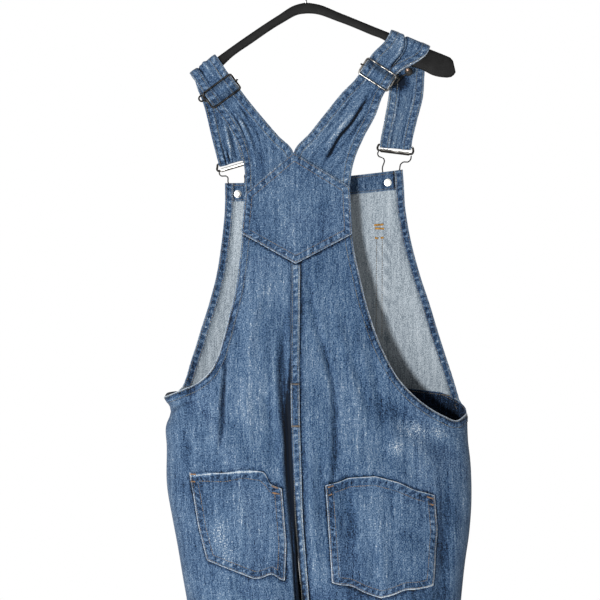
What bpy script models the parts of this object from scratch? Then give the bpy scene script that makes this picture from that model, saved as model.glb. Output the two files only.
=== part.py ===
"""Denim dungarees hanging on a coat hanger, modelled the way the garment is sewn.

Frame: +Z up, the back of the garment towards -Y, the bib towards +Y, +X to the right as seen from
behind.  The origin is the inside top of the hanger's hook.  Lengths in the tables are millimetres.
"""
import math

import bmesh
import bpy
import numpy as np
from mathutils import Vector

# ---- driving dimensions, millimetres ----
MM = 0.001
CLOTH = 1.5            # denim panel
OVERLAY = 1.2          # a patch, hem fold or facing sewn onto a panel
STRAP = 2.2            # strap, two layers of denim
GAP = 0.3              # clearance kept between pieces that touch
SEAM = 0.25            # half of the joint line between two panels
STRAP_WIDTH = 44
LAP = 12               # width of a felled seam and of a turned armhole edge
EDGE = 4               # narrow column beside a side seam or inseam, which keeps the edge square
BIB_HEM = 11
FACING_INSET = 4       # the facing's ends stop this far short of the bib's side hems
WAISTBAND = 42
LEG_HEM = 25
POWER = 2.6            # roundness of the body's sections, 2 is an ellipse
BACK, FRONT = -1, 1
LEFT, RIGHT = -1, 1

CROTCH_Z = -986
FAN_Z = -779           # the back's columns start to spread towards the armhole here
SEAM_TOP_Z = -421      # top of the back panels, under the yoke
HEM_Z = {LEFT: -1677, RIGHT: -1693}
WAIST_LEFT, WAIST_RIGHT = (-198, -622), (226, -645)

# height, centre seam x
SEAM_X = ((-421, -20), (-666, -20), (-729, -18), (-789, -16), (-851, -11), (-899, -7), (-949, -4), (-986, -2))
# height, outline x of each side
OUTER_X = {
    LEFT: ((-560, -198), (-622, -198), (-641, -193), (-657, -193.5), (-746, -194), (-788, -187), (-830, -179),
           (-872, -172), (-907, -166), (-986, -160), (-1109, -155), (-1309, -152), (-1509, -151), (-1693, -152)),
    RIGHT: ((-560, 228), (-645, 226), (-683, 227), (-709, 230), (-809, 229), (-851, 223), (-907, 217),
            (-986, 211), (-1109, 206), (-1309, 198), (-1509, 192), (-1693, 190)),
}
# height, inner line x of each leg below the crotch
INNER_X = {
    LEFT: ((-986, -2.2), (-1030, -5), (-1109, -10), (-1309, -20), (-1509, -24), (-1693, -22)),
    RIGHT: ((-986, -1.8), (-1030, 3), (-1109, 10), (-1309, 26), (-1509, 36), (-1693, 40)),
}
# height, depth from the side seam to the back, and to the front
DEPTH = {
    BACK: ((-209, 15.5), (-282, 24), (-339, 29), (-396, 34), (-439, 38), (-529, 47), (-649, 58), (-709, 64),
           (-789, 70), (-869, 72), (-986, 66), (-1109, 54), (-1309, 46), (-1509, 40), (-1693, 34)),
    FRONT: ((-299, 27), (-359, 33), (-459, 44), (-559, 55), (-649, 60), (-769, 64), (-909, 66),
            (-986, 62), (-1109, 52), (-1309, 45), (-1509, 39), (-1693, 33)),
}
LEG_FULLNESS = {LEFT: 1.15, RIGHT: 0.9}    # the left leg hangs rounder, the right one flatter
# height, how far each half has turned from one shared body (0) into a leg of its own (1)
RISE = ((-609, 0), (-709, 0.12), (-809, 0.38), (-899, 0.70), (-949, 0.88), (-986, 1))

# armhole edge of the back, x and z from the yoke's corner to the side seam
ARMHOLE = {
    LEFT: ((-87, -381), (-91, -426), (-99, -481), (-108, -515), (-114, -540), (-123, -568), (-133, -586),
           (-147, -599), (-172, -611), WAIST_LEFT),
    RIGHT: ((63, -383), (67, -418), (75, -455), (87, -503), (106, -555), (131, -599), (158, -626),
            (193, -648), (208, -654), WAIST_RIGHT),
}
# side edges of the bib from the waist up: left x, left z, right x, right z
BIB_EDGES = (
    (-187, -624, 225.5, -645),
    (-175, -610, 217, -627),
    (-163, -575, 204, -583),
    (-150, -533, 190, -540),
    (-137, -492, 176, -494),
    (-126, -450, 162, -452),
    (-119, -405, 149, -404),
    (-115, -369, 141, -359),
    (-114, -348, 139, -330),
    (-114, -322, 137, -303),
)
BIB_TOP_SAG = 5        # how far the bib's top edge dips below a straight line
BIB_COLUMNS = 10

# the shield-shaped yoke, x and z, from its top point and clockwise as seen from behind
YOKE = ((-17, -282), (61, -330), (64, -396), (-14, -437), (-89, -395), (-84, -339))
# back pockets, x and z, clockwise as seen from behind
POCKETS = {
    LEFT: ((-160, -724.5), (-116, -723.5), (-86, -719), (-58, -723), (-33, -744), (-27, -821), (-29, -871),
           (-72, -868), (-135, -844), (-146, -802)),
    RIGHT: ((27, -741), (58, -731), (95, -729), (125, -737), (177, -756), (181, -804), (175, -880),
            (133, -888), (103, -895), (36, -874)),
}
BIB_POCKET = ((106, -384), (-78, -384), (-72, -540), (14, -556), (100, -540))
LOOP_TOP_Z, LOOP_BOTTOM_Z, LOOP_LIFT = -601, -662, 3.0

# soft folds of the back: start x, z, end x, z, width, depth (a minus sign is a trough)
BACK_FOLDS = (
    (-20, -600, -18, -760, 9, -4.0),
    (-18, -760, -2, -960, 11, -7.0),
    (8, -480, 34, -730, 16, -4.0),
    (-30, -530, -46, -620, 14, 3.5),
    (-46, -620, -26, -740, 14, 3.0),
    (-112, -600, -124, -700, 15, -2.6),
    (120, -640, 196, -700, 18, -3.0),
    (-100, -900, -70, -1240, 24, -5.0),
    (120, -910, 96, -1280, 28, -5.5),
    (-130, -1180, -60, -1230, 22, -3.5),
    (70, -1200, 150, -1240, 22, -3.5),
    (-110, -1350, -96, -1640, 24, 4.0),
    (120, -1340, 112, -1650, 26, 4.0),
)
# soft folds of the front, in the same columns
FRONT_FOLDS = (
    (-20, -700, -60, -800, 20, -3.5),
    (20, -700, 80, -810, 20, -3.5),
    (-90, -760, -84, -1250, 22, 4.0),
    (110, -760, 106, -1280, 24, 4.5),
    (-130, -1190, -50, -1215, 22, -4.0),
    (60, -1200, 160, -1225, 24, -4.0),
    (-90, -1400, -86, -1650, 22, -3.0),
    (110, -1400, 112, -1650, 24, -3.0),
    (-60, -420, -74, -600, 18, 2.5),
    (70, -430, 96, -600, 18, -2.5),
)
FOLDS = {BACK: BACK_FOLDS, FRONT: FRONT_FOLDS}

# heights of the rows that run round the body and legs below the fan
LEG_ROWS = (-779, -820, -865, -905, -940, -966, -986, -1016, -1066, -1136, -1216, -1306, -1406, -1506, -1606)
BACK_COLUMNS, BACK_TOP_COLUMNS, FAN_ROWS = 14, 3, 8
FRONT_COLUMNS, FRONT_TOP_ROWS = 9, 3

# straps: the sewn end, edge points going up from under the yoke: left x, left z, right x, right z
STRAPS = {
    LEFT: {
        "tail": ((-83, -355, -18, -299), (-84, -338, -18, -281), (-85, -305, -38, -259),
                 (-93.5, -273, -57, -237), (-107, -247, -76, -214)),
        "slide": (-117, -196, 36.4), "crest": (-145, -156, 36.4, 44),
        # falling to the buckle: x, y, z, tilt, width
        "front": ((-132, 11, -181, 28, 44), (-123, 12.5, -204, 20, 44), (-112, 14, -252, 17.6, 44)),
        "buckle_bar": (-102.8, 14, -287.3, 16), "lower_bar": (-102, 16, -301.5, 16.5), "button": (-96, -337),
        "across": (0, 0.33, 0.67, 1), "pleat": (0, 1.2, -0.8, 0),
    },
    RIGHT: {
        "tail": ((-16, -299, 60, -347), (-16, -281, 61, -329), (6, -254.5, 67, -294),
                 (28, -226.5, 80.6, -261), (50, -199, 97, -230)),
        "slide": (100, -173, -32.9), "crest": (145, -118.5, -22, 54),
        "front": ((143, 11, -159, -14, 50), (141, 12.5, -198, -8, 48), (133, 14, -237, -5, 45)),
        "buckle_bar": (126.5, 14, -268, -4), "lower_bar": (125.7, 16, -279.5, -7), "button": (116, -321),
        "across": (0, 0.47, 0.55, 0.63, 1), "pleat": (0, 1.2, -2.2, 1.2, 0),
    },
}
SLIDE_Y = -16.6        # plane of the slides
SLIDE_HALF = (24, 12.5)
SLIDE_CORNER = 3.5
SLIDE_WIRE, BAR_WIRE = 1.2, 1.2
CURL = SLIDE_WIRE + 0.4 + BAR_WIRE     # radius of the curl that holds the bar on the frame
EYE_RADIUS = 3.9
# centre of the eye at the end of the slide's bar: across, along
EYE_PLACE = {LEFT: (-28.6, 8.5), RIGHT: (33, 26)}

ARM_HALF = 4.5         # half the thickness of the hanger's arms
LAYERS_APART = 0.45    # between the two layers of a strap that lie on each other
LAYER_INNER = ARM_HALF + GAP + STRAP / 2
LAYER_OUTER = LAYER_INNER + STRAP + LAYERS_APART
UNDER_SLIDE = SLIDE_WIRE + GAP + STRAP / 2
OVER_BAR = BAR_WIRE + GAP + STRAP + GAP + STRAP / 2
# the strap past the slide: distance up the strap, height over the slide's plane
SLIDE_WAY = ((-17.5, -UNDER_SLIDE - 0.4), (-10.5, -UNDER_SLIDE), (-5.6, 2.2), (-2.4, OVER_BAR),
             (2.4, OVER_BAR), (5.6, 2.2), (10.5, -UNDER_SLIDE), (15.5, -UNDER_SLIDE))
LOOP_WIDTH = STRAP_WIDTH - 7           # the end that wraps round the slide's bar is narrower

BUCKLE_HALF = 24
LOWER_BAR_RADIUS, LOWER_BAR_HALF = 2.2, 19.6
BUTTON_WIRE = 0.9
# the hook below the buckle's lower bar: across, down from the bar; and across, up from the button
HOOK_SHOULDERS = ((23.2, 3.8), (23.5, 6), (21.5, 9.5), (14, 11.5), (12, 14))
HOOK_THROAT = ((12, 18), (9, 10), (4.9, 4), (4.9, -1.5), (3.4, -4.6))
HOOK_END = 5.7                         # the hook passes this far below the button's centre
# turned profiles: radius, height over the cloth
BUTTON = ((0, 0), (4.2, 0), (4.2, 0.6), (3.4, 0.9), (3.4, 4.2), (7.6, 4.2), (8.5, 5.2), (7.8, 6.6),
          (4, 7.4), (0, 7.6))
RIVET = ((0, 0), (5.2, 0), (5.2, 0.7), (3.6, 1.5), (0, 1.8))

# the hanger's arms from left tip to right tip: top edge x, z, height, lean of the section to the right
HANGER = (
    (-160, -173.8, 16, 37), (-155, -170.2, 29, 37), (-143, -161.3, 30, 37), (-131, -152.5, 17, 36),
    (-117, -142.2, 13, 35), (-80, -116, 12, 34), (-40, -89.5, 12, 33), (-14, -74, 14, 20), (0, -71, 15, 0),
    (14, -72.5, 14, -12), (50, -86, 12, -21), (95, -104.2, 12, -22), (117, -113, 13, -22), (130, -118.2, 20, -22),
    (146, -124.7, 30, -22), (175, -136.4, 31, -22), (196, -144.8, 31, -13), (202.5, -147.8, 27, 3),
    (206, -152, 17, 13),
)
ARM_SIDES = 12         # points round the arms' section, half of them on its upper edge
HOOK_WIRE, HOOK_RADIUS = 2.0, 20
# the hook's stem: x, height over its foot
STEM = ((0, 0), (0, 20), (1.5, 26), (5, 32))
HOOK_ANGLES = range(-55, 216, 18)      # round the hook from the stem's side to its tip

DENIM = ("denim", (0.10, 0.19, 0.31, 1), 0.9, 0)
WIRE = ("slide_wire", (0.12, 0.12, 0.12, 1), 0.35, 1)
SILVER = ("silver_metal", (0.7, 0.7, 0.7, 1), 0.3, 1)
CHARCOAL = ("charcoal_plastic", (0.03, 0.03, 0.03, 1), 0.6, 0)
STEEL = ("hook_steel", (0.6, 0.6, 0.6, 1), 0.3, 1)


# ---- scene ----
def clear_scene():
    for obj in list(bpy.data.objects):
        bpy.data.objects.remove(obj, do_unlink=True)


def make_collection(name):
    group = bpy.data.collections.new(name)
    bpy.context.scene.collection.children.link(group)
    return group


def finish(obj, look):
    """Link the object, give it a material of its own and shade it smooth."""
    name, colour, roughness, metallic = look
    DUNGAREES.objects.link(obj)
    material = bpy.data.materials.new(obj.name + "_" + name)
    material.use_nodes = True
    shader = material.node_tree.nodes["Principled BSDF"]
    shader.inputs["Base Color"].default_value = colour
    shader.inputs["Roughness"].default_value = roughness
    shader.inputs["Metallic"].default_value = metallic
    obj.data.materials.append(material)
    return obj


# ---- curves through tables ----
def smooth(rows, at):
    """Value at a height from a table of (height, value), by a cubic through the rows."""
    table = np.array(sorted(rows), dtype=float)
    xs, ys = table[:, 0], table[:, 1]
    at = float(min(max(at, xs[0]), xs[-1]))
    slopes = np.gradient(ys, xs)
    i = int(min(max(np.searchsorted(xs, at) - 1, 0), len(xs) - 2))
    span = xs[i + 1] - xs[i]
    t = (at - xs[i]) / span
    return float((2 * t**3 - 3 * t**2 + 1) * ys[i] + (t**3 - 2 * t**2 + t) * span * slopes[i]
                 + (3 * t**2 - 2 * t**3) * ys[i + 1] + (t**3 - t**2) * span * slopes[i + 1])


def smooth_path(points, count):
    """Points spread evenly along a smooth curve through the given ones."""
    given = np.array(points, dtype=float)
    steps = np.linalg.norm(np.diff(given, axis=0), axis=1)
    along = np.concatenate([[0], np.cumsum(steps)])
    fine = np.linspace(0, along[-1], 40 * len(given))
    dense = np.array([[smooth(zip(along, given[:, axis]), t) for axis in range(given.shape[1])] for t in fine])
    length = np.concatenate([[0], np.cumsum(np.linalg.norm(np.diff(dense, axis=0), axis=1))])
    even = np.linspace(0, length[-1], count)
    return np.stack([np.interp(even, length, dense[:, axis]) for axis in range(given.shape[1])], axis=1)


# ---- the body: two halves, each a rounded ring that turns into a leg ----
def seam_x(z):
    return smooth(SEAM_X, z)


def inner_x(half, z):
    if z > CROTCH_Z:
        return seam_x(z) + half * SEAM
    return smooth(INNER_X[half], z) + half * SEAM


def depth(half, face, z):
    turned = min(max((CROTCH_Z - z) / 160, 0), 1)
    return smooth(DEPTH[face], z) * (1 + (LEG_FULLNESS[half] - 1) * turned)


def ring(half, face, z, samples=160):
    """Share of the way from the centre seam to the side seam, x, y and length of one quarter ring."""
    rise = min(max(smooth(RISE, z), 0), 1)
    inner, outer = inner_x(half, z), smooth(OUTER_X[half], z)
    reach = abs(outer - inner) / (1 + rise)
    middle = outer - half * reach
    start = math.pi - math.acos(rise ** (POWER / 2))
    angle = np.linspace(start, 0, samples)
    cos, sin = np.cos(angle), np.clip(np.sin(angle), 0, 1)
    x = middle + half * reach * np.sign(cos) * np.abs(cos) ** (2 / POWER)
    y = face * depth(half, face, z) * sin ** (2 / POWER)
    along = np.concatenate([[0], np.cumsum(np.hypot(np.diff(x), np.diff(y)))])
    return along / along[-1], x, y, along[-1]


def place(half, face, share, z):
    """Point of the body at a share of the way round and a height, clear of the seams at both ends."""
    shares, x, y, length = ring(half, face, z)
    share = min(max(share, SEAM / length), 1 - SEAM / length)
    return (np.interp(share, shares, x), np.interp(share, shares, y), z)


def share_of(half, face, x, z):
    shares, xs, _, _ = ring(half, face, z)
    return float(np.interp(half * x, half * xs, shares))


def column_shares(half, face, z, first, columns):
    """Shares of the columns at a height: a first and a last one of fixed width, the rest even."""
    length = ring(half, face, z)[3]
    middle = np.linspace(first / length, 1 - EDGE / length, columns - 1)
    return np.concatenate([[0], middle, [1]])


def surface_y(face, x, z):
    half = RIGHT if x > seam_x(z) else LEFT
    return place(half, face, share_of(half, face, x, z), z)[1]


def fold_height(face, points):
    """Sum of the soft folds at each point: a bell across the fold, fading towards its ends."""
    total = np.zeros(points.shape[:-1])
    x, z = points[..., 0], points[..., 2]
    for x0, z0, x1, z1, width, height in FOLDS[face]:
        span = np.array([x1 - x0, z1 - z0], dtype=float)
        length = np.linalg.norm(span)
        along = ((x - x0) * span[0] + (z - z0) * span[1]) / length**2
        across = ((x - x0) * span[1] - (z - z0) * span[0]) / length
        beyond = np.maximum(0, np.abs(along - 0.5) - 0.35) * length
        total += height * np.exp(-(across / width) ** 2 - (beyond / (2.2 * width)) ** 2)
    return total


def grid_normals(grid):
    along = np.gradient(grid, axis=0)
    across = np.gradient(grid, axis=1)
    normal = np.cross(along, across)
    return normal / np.linalg.norm(normal, axis=-1, keepdims=True)


def fold(grid, face):
    """Move a grid of body points along its outward normals by the folds."""
    normal = grid_normals(grid)
    if normal[..., 1].mean() * face < 0:
        normal = -normal
    return grid + normal * fold_height(face, grid)[..., None]


# ---- meshes ----
def cloth_mesh(grid, towards, closed=False):
    """Triangulated sheet over a grid, its faces turned to the direction in towards (a unit vector or 'out')."""
    mesh = bmesh.new()
    rows, columns = grid.shape[:2]
    verts = [[mesh.verts.new(Vector(grid[r, c]) * MM) for c in range(columns)] for r in range(rows)]
    for r in range(rows - 1):
        for c in range(columns if closed else columns - 1):
            d = (c + 1) % columns
            mesh.faces.new((verts[r][c], verts[r][d], verts[r + 1][d], verts[r + 1][c]))
    bmesh.ops.triangulate(mesh, faces=mesh.faces[:], quad_method="FIXED")
    mesh.verts.index_update()
    mesh.normal_update()
    middle = sum((v.co for v in mesh.verts), Vector()) / len(mesh.verts)
    if towards == "out":
        facing = sum((f.normal.dot(f.calc_center_median() - middle) * f.calc_area() for f in mesh.faces))
    else:
        facing = sum((f.normal.dot(Vector(towards)) * f.calc_area() for f in mesh.faces))
    if facing < 0:
        bmesh.ops.reverse_faces(mesh, faces=mesh.faces[:])
        mesh.normal_update()
    return mesh


def piece_of(mesh, grid, rows, columns):
    """Keep only some rows and columns of a sheet made over a whole grid."""
    height, width = grid.shape[:2]
    kept_rows, kept_columns = range(height)[rows], range(width)[columns]
    spare = [v for v in mesh.verts if v.index // width not in kept_rows or v.index % width not in kept_columns]
    bmesh.ops.delete(mesh, geom=spare, context="VERTS")
    return mesh


def shift(mesh, distance):
    """Move a sheet along its own normals, outwards for a plus sign."""
    mesh.normal_update()
    moves = [(v, v.normal * distance * MM) for v in mesh.verts]
    for vert, move in moves:
        vert.co += move
    return mesh


def clip(mesh, outline):
    """Keep what lies inside a convex outline of (x, z) points that runs clockwise as seen from behind."""
    count = len(outline)
    for i, (x0, z0) in enumerate(outline):
        x1, z1 = outline[(i + 1) % count]
        outside = Vector((-(z1 - z0), 0, x1 - x0))
        bmesh.ops.bisect_plane(mesh, geom=mesh.verts[:] + mesh.edges[:] + mesh.faces[:], dist=1e-7,
                               plane_co=Vector((x0, 0, z0)) * MM, plane_no=outside, clear_outer=True)
    bmesh.ops.dissolve_degenerate(mesh, dist=2e-5, edges=mesh.edges[:])
    return mesh


def wall(name, mesh, thickness, grow, look=DENIM):
    """Give a sheet its thickness: grow is -1 inwards, 1 outwards, 0 both ways."""
    data = bpy.data.meshes.new(name)
    mesh.to_mesh(data)
    mesh.free()
    obj = bpy.data.objects.new(name, data)
    solidify = obj.modifiers.new("thickness", "SOLIDIFY")
    solidify.thickness = thickness * MM
    solidify.offset = grow
    solidify.use_even_offset = False
    data.shade_smooth()
    return finish(obj, look)


def wire(name, points, radius, look, cyclic=False, sides=6):
    """Round wire along points, as a curve with filled caps."""
    curve = bpy.data.curves.new(name, "CURVE")
    curve.dimensions = "3D"
    curve.bevel_depth = radius * MM
    curve.bevel_resolution = (sides - 4) // 2
    curve.use_fill_caps = not cyclic
    spline = curve.splines.new("POLY")
    spline.points.add(len(points) - 1)
    for target, point in zip(spline.points, points):
        target.co = (*(Vector(point) * MM), 1)
    spline.use_cyclic_u = cyclic
    obj = bpy.data.objects.new(name, curve)
    return finish(obj, look)


def turned(name, profile, centre, axis, look, sides=16):
    """Turned solid: a profile of (radius, height) rows swept about an axis that starts at centre."""
    mesh = bmesh.new()
    stand = Vector(axis).to_track_quat("Y", "Z")
    rings = []
    for radius, height in profile:
        ring_verts = []
        for i in range(sides if radius > 0 else 1):
            angle = 2 * math.pi * i / sides
            point = stand @ Vector((radius * math.cos(angle), height, radius * math.sin(angle)))
            ring_verts.append(mesh.verts.new((point + Vector(centre)) * MM))
        rings.append(ring_verts)
    for low, high in zip(rings, rings[1:]):
        for i in range(sides):
            j = (i + 1) % sides
            corners = [low[i % len(low)], low[j % len(low)], high[j % len(high)], high[i % len(high)]]
            mesh.faces.new(list(dict.fromkeys(corners)))
    bmesh.ops.recalc_face_normals(mesh, faces=mesh.faces[:])
    data = bpy.data.meshes.new(name)
    mesh.to_mesh(data)
    mesh.free()
    return finish(bpy.data.objects.new(name, data), look)


# ---- back panels ----
def back_top_edge(half):
    """Top of a back panel as (x, z): along the seam under the yoke, then down the armhole to the side."""
    corner = ARMHOLE[half][0]
    start = seam_x(SEAM_TOP_Z)
    under_yoke = [(start, SEAM_TOP_Z), (start + half * LAP, SEAM_TOP_Z + 4)]
    for i in range(2, BACK_TOP_COLUMNS):
        t = (i - 1) / (BACK_TOP_COLUMNS - 1)
        under_yoke.append((start + half * LAP + t * (corner[0] - start - half * LAP),
                           SEAM_TOP_Z + 4 + t * (corner[1] - SEAM_TOP_Z - 4)))
    armhole = smooth_path(ARMHOLE[half], BACK_COLUMNS - BACK_TOP_COLUMNS)
    side = (smooth(OUTER_X[half], armhole[-1, 1]), armhole[-1, 1])
    return np.array(under_yoke + list(map(tuple, armhole)) + [side])


def turned_edge(half, edge):
    """Line one lap inside the panel's top edge, where the turned armhole edge is stitched down."""
    inside = edge.copy()
    tangent = np.gradient(edge, axis=0)
    tangent[-2:] = edge[-2] - edge[-3]
    tangent /= np.linalg.norm(tangent, axis=1, keepdims=True)
    normal = half * np.stack([tangent[:, 1], -tangent[:, 0]], axis=1)
    inside += normal * LAP
    inside[:BACK_TOP_COLUMNS] = edge[:BACK_TOP_COLUMNS] + (0, -LAP)
    inside[BACK_TOP_COLUMNS] = edge[BACK_TOP_COLUMNS] + (-half * LAP, -LAP - 2)
    side_z = edge[-1, 1] - LAP
    inside[-2:] = [(smooth(OUTER_X[half], side_z), side_z)] * 2
    return inside


def back_grid(half):
    """Points of a back panel, rows from its top edge down to the hem, columns from the seam out."""
    edge = back_top_edge(half)
    inside = turned_edge(half, edge)
    edge_shares = [share_of(half, BACK, x, z) for x, z in edge]
    inside_shares = [share_of(half, BACK, x, z) for x, z in inside]
    edge_shares[-1] = inside_shares[-1] = 1
    edge_shares[-2] = 1 - EDGE / ring(half, BACK, edge[-2, 1])[3]
    inside_shares[-2] = edge_shares[-2]
    base = column_shares(half, BACK, FAN_Z, LAP, BACK_COLUMNS)
    rows = [[place(half, BACK, s, z) for s, z in zip(edge_shares, edge[:, 1])]]
    for j in range(FAN_ROWS):
        t = j / FAN_ROWS
        rows.append([place(half, BACK, a + t * (b - a), z + t * (FAN_Z - z))
                     for a, b, z in zip(inside_shares, base, inside[:, 1])])
    for z in LEG_ROWS + (HEM_Z[half] + LEG_HEM, HEM_Z[half]):
        rows.append([place(half, BACK, s, z) for s in column_shares(half, BACK, z, LAP, BACK_COLUMNS)])
    return fold(np.array(rows), BACK)


def make_backs():
    """Back panels, the felled centre seam, the turned armhole edges and the back loop."""
    grids = {}
    for half, side in ((LEFT, "left"), (RIGHT, "right")):
        grid = grids[half] = back_grid(half)
        wall("back_" + side, cloth_mesh(grid, (0, -1, 0)), CLOTH, -1)
        hem = shift(cloth_mesh(grid, (0, -1, 0)), -CLOTH - GAP)
        hem = piece_of(hem, grid, slice(0, 2), slice(BACK_TOP_COLUMNS, None))
        wall("armhole_hem_" + side, hem, OVERLAY, -1)
    lap_rows = 1 + FAN_ROWS + LEG_ROWS.index(CROTCH_Z)
    lap = shift(cloth_mesh(grids[RIGHT], (0, -1, 0)), GAP)
    lap = piece_of(lap, grids[RIGHT], slice(0, lap_rows), slice(0, 2))
    lowest_yoke_z = min(z for _, z in YOKE) - 2 * GAP
    bmesh.ops.bisect_plane(lap, geom=lap.verts[:] + lap.edges[:] + lap.faces[:], dist=1e-7,
                           plane_co=Vector((0, 0, lowest_yoke_z)) * MM, plane_no=(0, 0, 1), clear_outer=True)
    wall("centre_back_strip", lap, OVERLAY, 1)
    make_back_loop(grids[RIGHT][:, 0:2])
    return grids


def make_back_loop(strip):
    """Small loop over the centre seam: it lies on the strip at both ends and stands off between them."""
    rows = []
    for i in range(7):
        t = i / 6
        z = LOOP_TOP_Z + t * (LOOP_BOTTOM_Z - LOOP_TOP_Z)
        rows.append([[np.interp(-z, -strip[:, c, 2], strip[:, c, axis]) for axis in range(3)] for c in range(2)])
    grid = np.array(rows)
    lift = 2 * GAP + OVERLAY + LOOP_LIFT * np.sin(np.pi * np.linspace(0, 1, 7)) ** 0.8
    grid[..., 1] -= lift[:, None]
    wall("back_loop", cloth_mesh(grid, (0, -1, 0)), OVERLAY, 1)


def make_back_pockets(grids):
    for half, side in ((LEFT, "left"), (RIGHT, "right")):
        sheet = shift(cloth_mesh(grids[half], (0, -1, 0)), GAP)
        wall("back_pocket_" + side, clip(sheet, POCKETS[half]), OVERLAY, 1)


def make_yoke():
    """Shield-shaped yoke that covers the strap ends and the tops of the back panels."""
    xs = np.linspace(min(x for x, _ in YOKE) - 5, max(x for x, _ in YOKE) + 5, 7)
    zs = np.linspace(max(z for _, z in YOKE) + 5, min(z for _, z in YOKE) - 5, 6)
    grid = np.array([[(x, surface_y(BACK, x, z), z) for x in xs] for z in zs])
    sheet = shift(cloth_mesh(grid, (0, -1, 0)), 2 * GAP)
    wall("back_yoke", clip(sheet, YOKE), CLOTH, 1)


# ---- front ----
def waist_z(signed_share):
    """Height of the waist seam from the left side seam (-1) to the right one (1)."""
    return WAIST_LEFT[1] + (signed_share + 1) / 2 * (WAIST_RIGHT[1] - WAIST_LEFT[1])


def front_grid(half):
    """Points of a front leg panel from under the waistband to the hem."""
    rows = []
    for j in range(FRONT_TOP_ROWS):
        t = j / FRONT_TOP_ROWS
        row = []
        for share in column_shares(half, FRONT, FAN_Z, EDGE, FRONT_COLUMNS):
            top = waist_z(half * share) - WAISTBAND - GAP
            row.append(place(half, FRONT, share, top + t * (FAN_Z - top)))
        rows.append(row)
    for z in LEG_ROWS + (HEM_Z[half] + LEG_HEM, HEM_Z[half]):
        rows.append([place(half, FRONT, s, z) for s in column_shares(half, FRONT, z, EDGE, FRONT_COLUMNS)])
    return fold(np.array(rows), FRONT)


def make_fronts(back_grids):
    for half, side in ((LEFT, "left"), (RIGHT, "right")):
        grid = front_grid(half)
        wall("front_" + side, cloth_mesh(grid, (0, 1, 0)), CLOTH, -1)
        round_leg = np.concatenate([grid[-2:], back_grids[half][-2:, ::-1]], axis=1)
        hem = shift(cloth_mesh(round_leg, "out", closed=True), -CLOTH - 2 * GAP)
        wall("leg_hem_" + side, hem, OVERLAY, -1)


def front_point(signed_share, z):
    half = RIGHT if signed_share > 0 else LEFT
    x, y, z = place(half, FRONT, abs(signed_share), z)
    return (x, y, z)


def make_waistband():
    """Band across the front from side seam to side seam, between the bib and the legs."""
    half_shares = np.concatenate([np.linspace(0, 0.98, 8)[1:], [1]])
    shares = np.concatenate([-half_shares[::-1], half_shares])
    rows = []
    for drop in (0, WAISTBAND / 2, WAISTBAND):
        rows.append([front_point(s, waist_z(s) - drop) for s in shares])
    wall("waistband", cloth_mesh(np.array(rows), (0, 1, 0)), CLOTH, -1)


def bib_grid():
    """Points of the bib, rows from the waist up, columns from its left edge to its right edge."""
    rows = []
    count = len(BIB_EDGES)
    for j, (left_x, left_z, right_x, right_z) in enumerate(BIB_EDGES):
        low = -share_of(LEFT, FRONT, left_x, left_z)
        high = share_of(RIGHT, FRONT, right_x, right_z)
        low_hem = BIB_HEM / ring(LEFT, FRONT, left_z)[3]
        high_hem = BIB_HEM / ring(RIGHT, FRONT, right_z)[3]
        shares = np.concatenate([[low], np.linspace(low + low_hem, high - high_hem, BIB_COLUMNS - 1), [high]])
        sag = BIB_TOP_SAG * max(0, (j - 4) / (count - 5))
        row = []
        for share in shares:
            t = (share - low) / (high - low)
            z = left_z + t * (right_z - left_z) - sag * math.sin(math.pi * t)
            if j == 0:
                z = waist_z(share) + 2 * GAP
            row.append(front_point(share, z))
        rows.append(row)
    return fold(np.array(rows), FRONT)


def make_bib():
    """Bib with its turned side edges, top facing and chest pocket."""
    grid = bib_grid()
    wall("bib", cloth_mesh(grid, (0, 1, 0)), CLOTH, -1)
    for side, columns in (("left", slice(0, 2)), ("right", slice(-2, None))):
        hem = shift(cloth_mesh(grid, (0, 1, 0)), -CLOTH - GAP)
        wall("bib_hem_" + side, piece_of(hem, grid, slice(1, None), columns), OVERLAY, -1)
    facing = piece_of(shift(cloth_mesh(grid, (0, 1, 0)), -CLOTH - GAP), grid, slice(-2, None), slice(1, -1))
    for end_x, towards in ((min(v.co.x for v in facing.verts), -1), (max(v.co.x for v in facing.verts), 1)):
        end = Vector((end_x - towards * FACING_INSET * MM, 0, 0))
        bmesh.ops.bisect_plane(facing, geom=facing.verts[:] + facing.edges[:] + facing.faces[:], dist=1e-7,
                               plane_co=end, plane_no=(towards, 0, 0), clear_outer=True)
    wall("bib_top_facing", facing, OVERLAY, -1)
    pocket = shift(cloth_mesh(grid, (0, 1, 0)), GAP)
    wall("bib_pocket", clip(pocket, BIB_POCKET[::-1]), OVERLAY, 1)


# ---- straps ----
def across_vector(tilt):
    return np.array([math.cos(math.radians(tilt)), 0, math.sin(math.radians(tilt))])


def up_vector(tilt):
    return np.array([-math.sin(math.radians(tilt)), 0, math.cos(math.radians(tilt))])


def station(centre, tilt, width):
    """Left and right edge points of the strap at one place."""
    reach = across_vector(tilt) * width / 2
    return np.array([np.array(centre) - reach, np.array(centre) + reach])


def bend(centre, tilt, width, radius, angles):
    """Stations round a bar or over the hanger: angle 0 faces the front, 90 is up along the strap."""
    middle = np.array(centre, dtype=float)
    out = []
    for angle in angles:
        turn = math.radians(angle)
        spot = middle + radius * (np.array([0, math.cos(turn), 0]) + up_vector(tilt) * math.sin(turn))
        out.append(station(spot, tilt, width))
    return out


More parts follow.
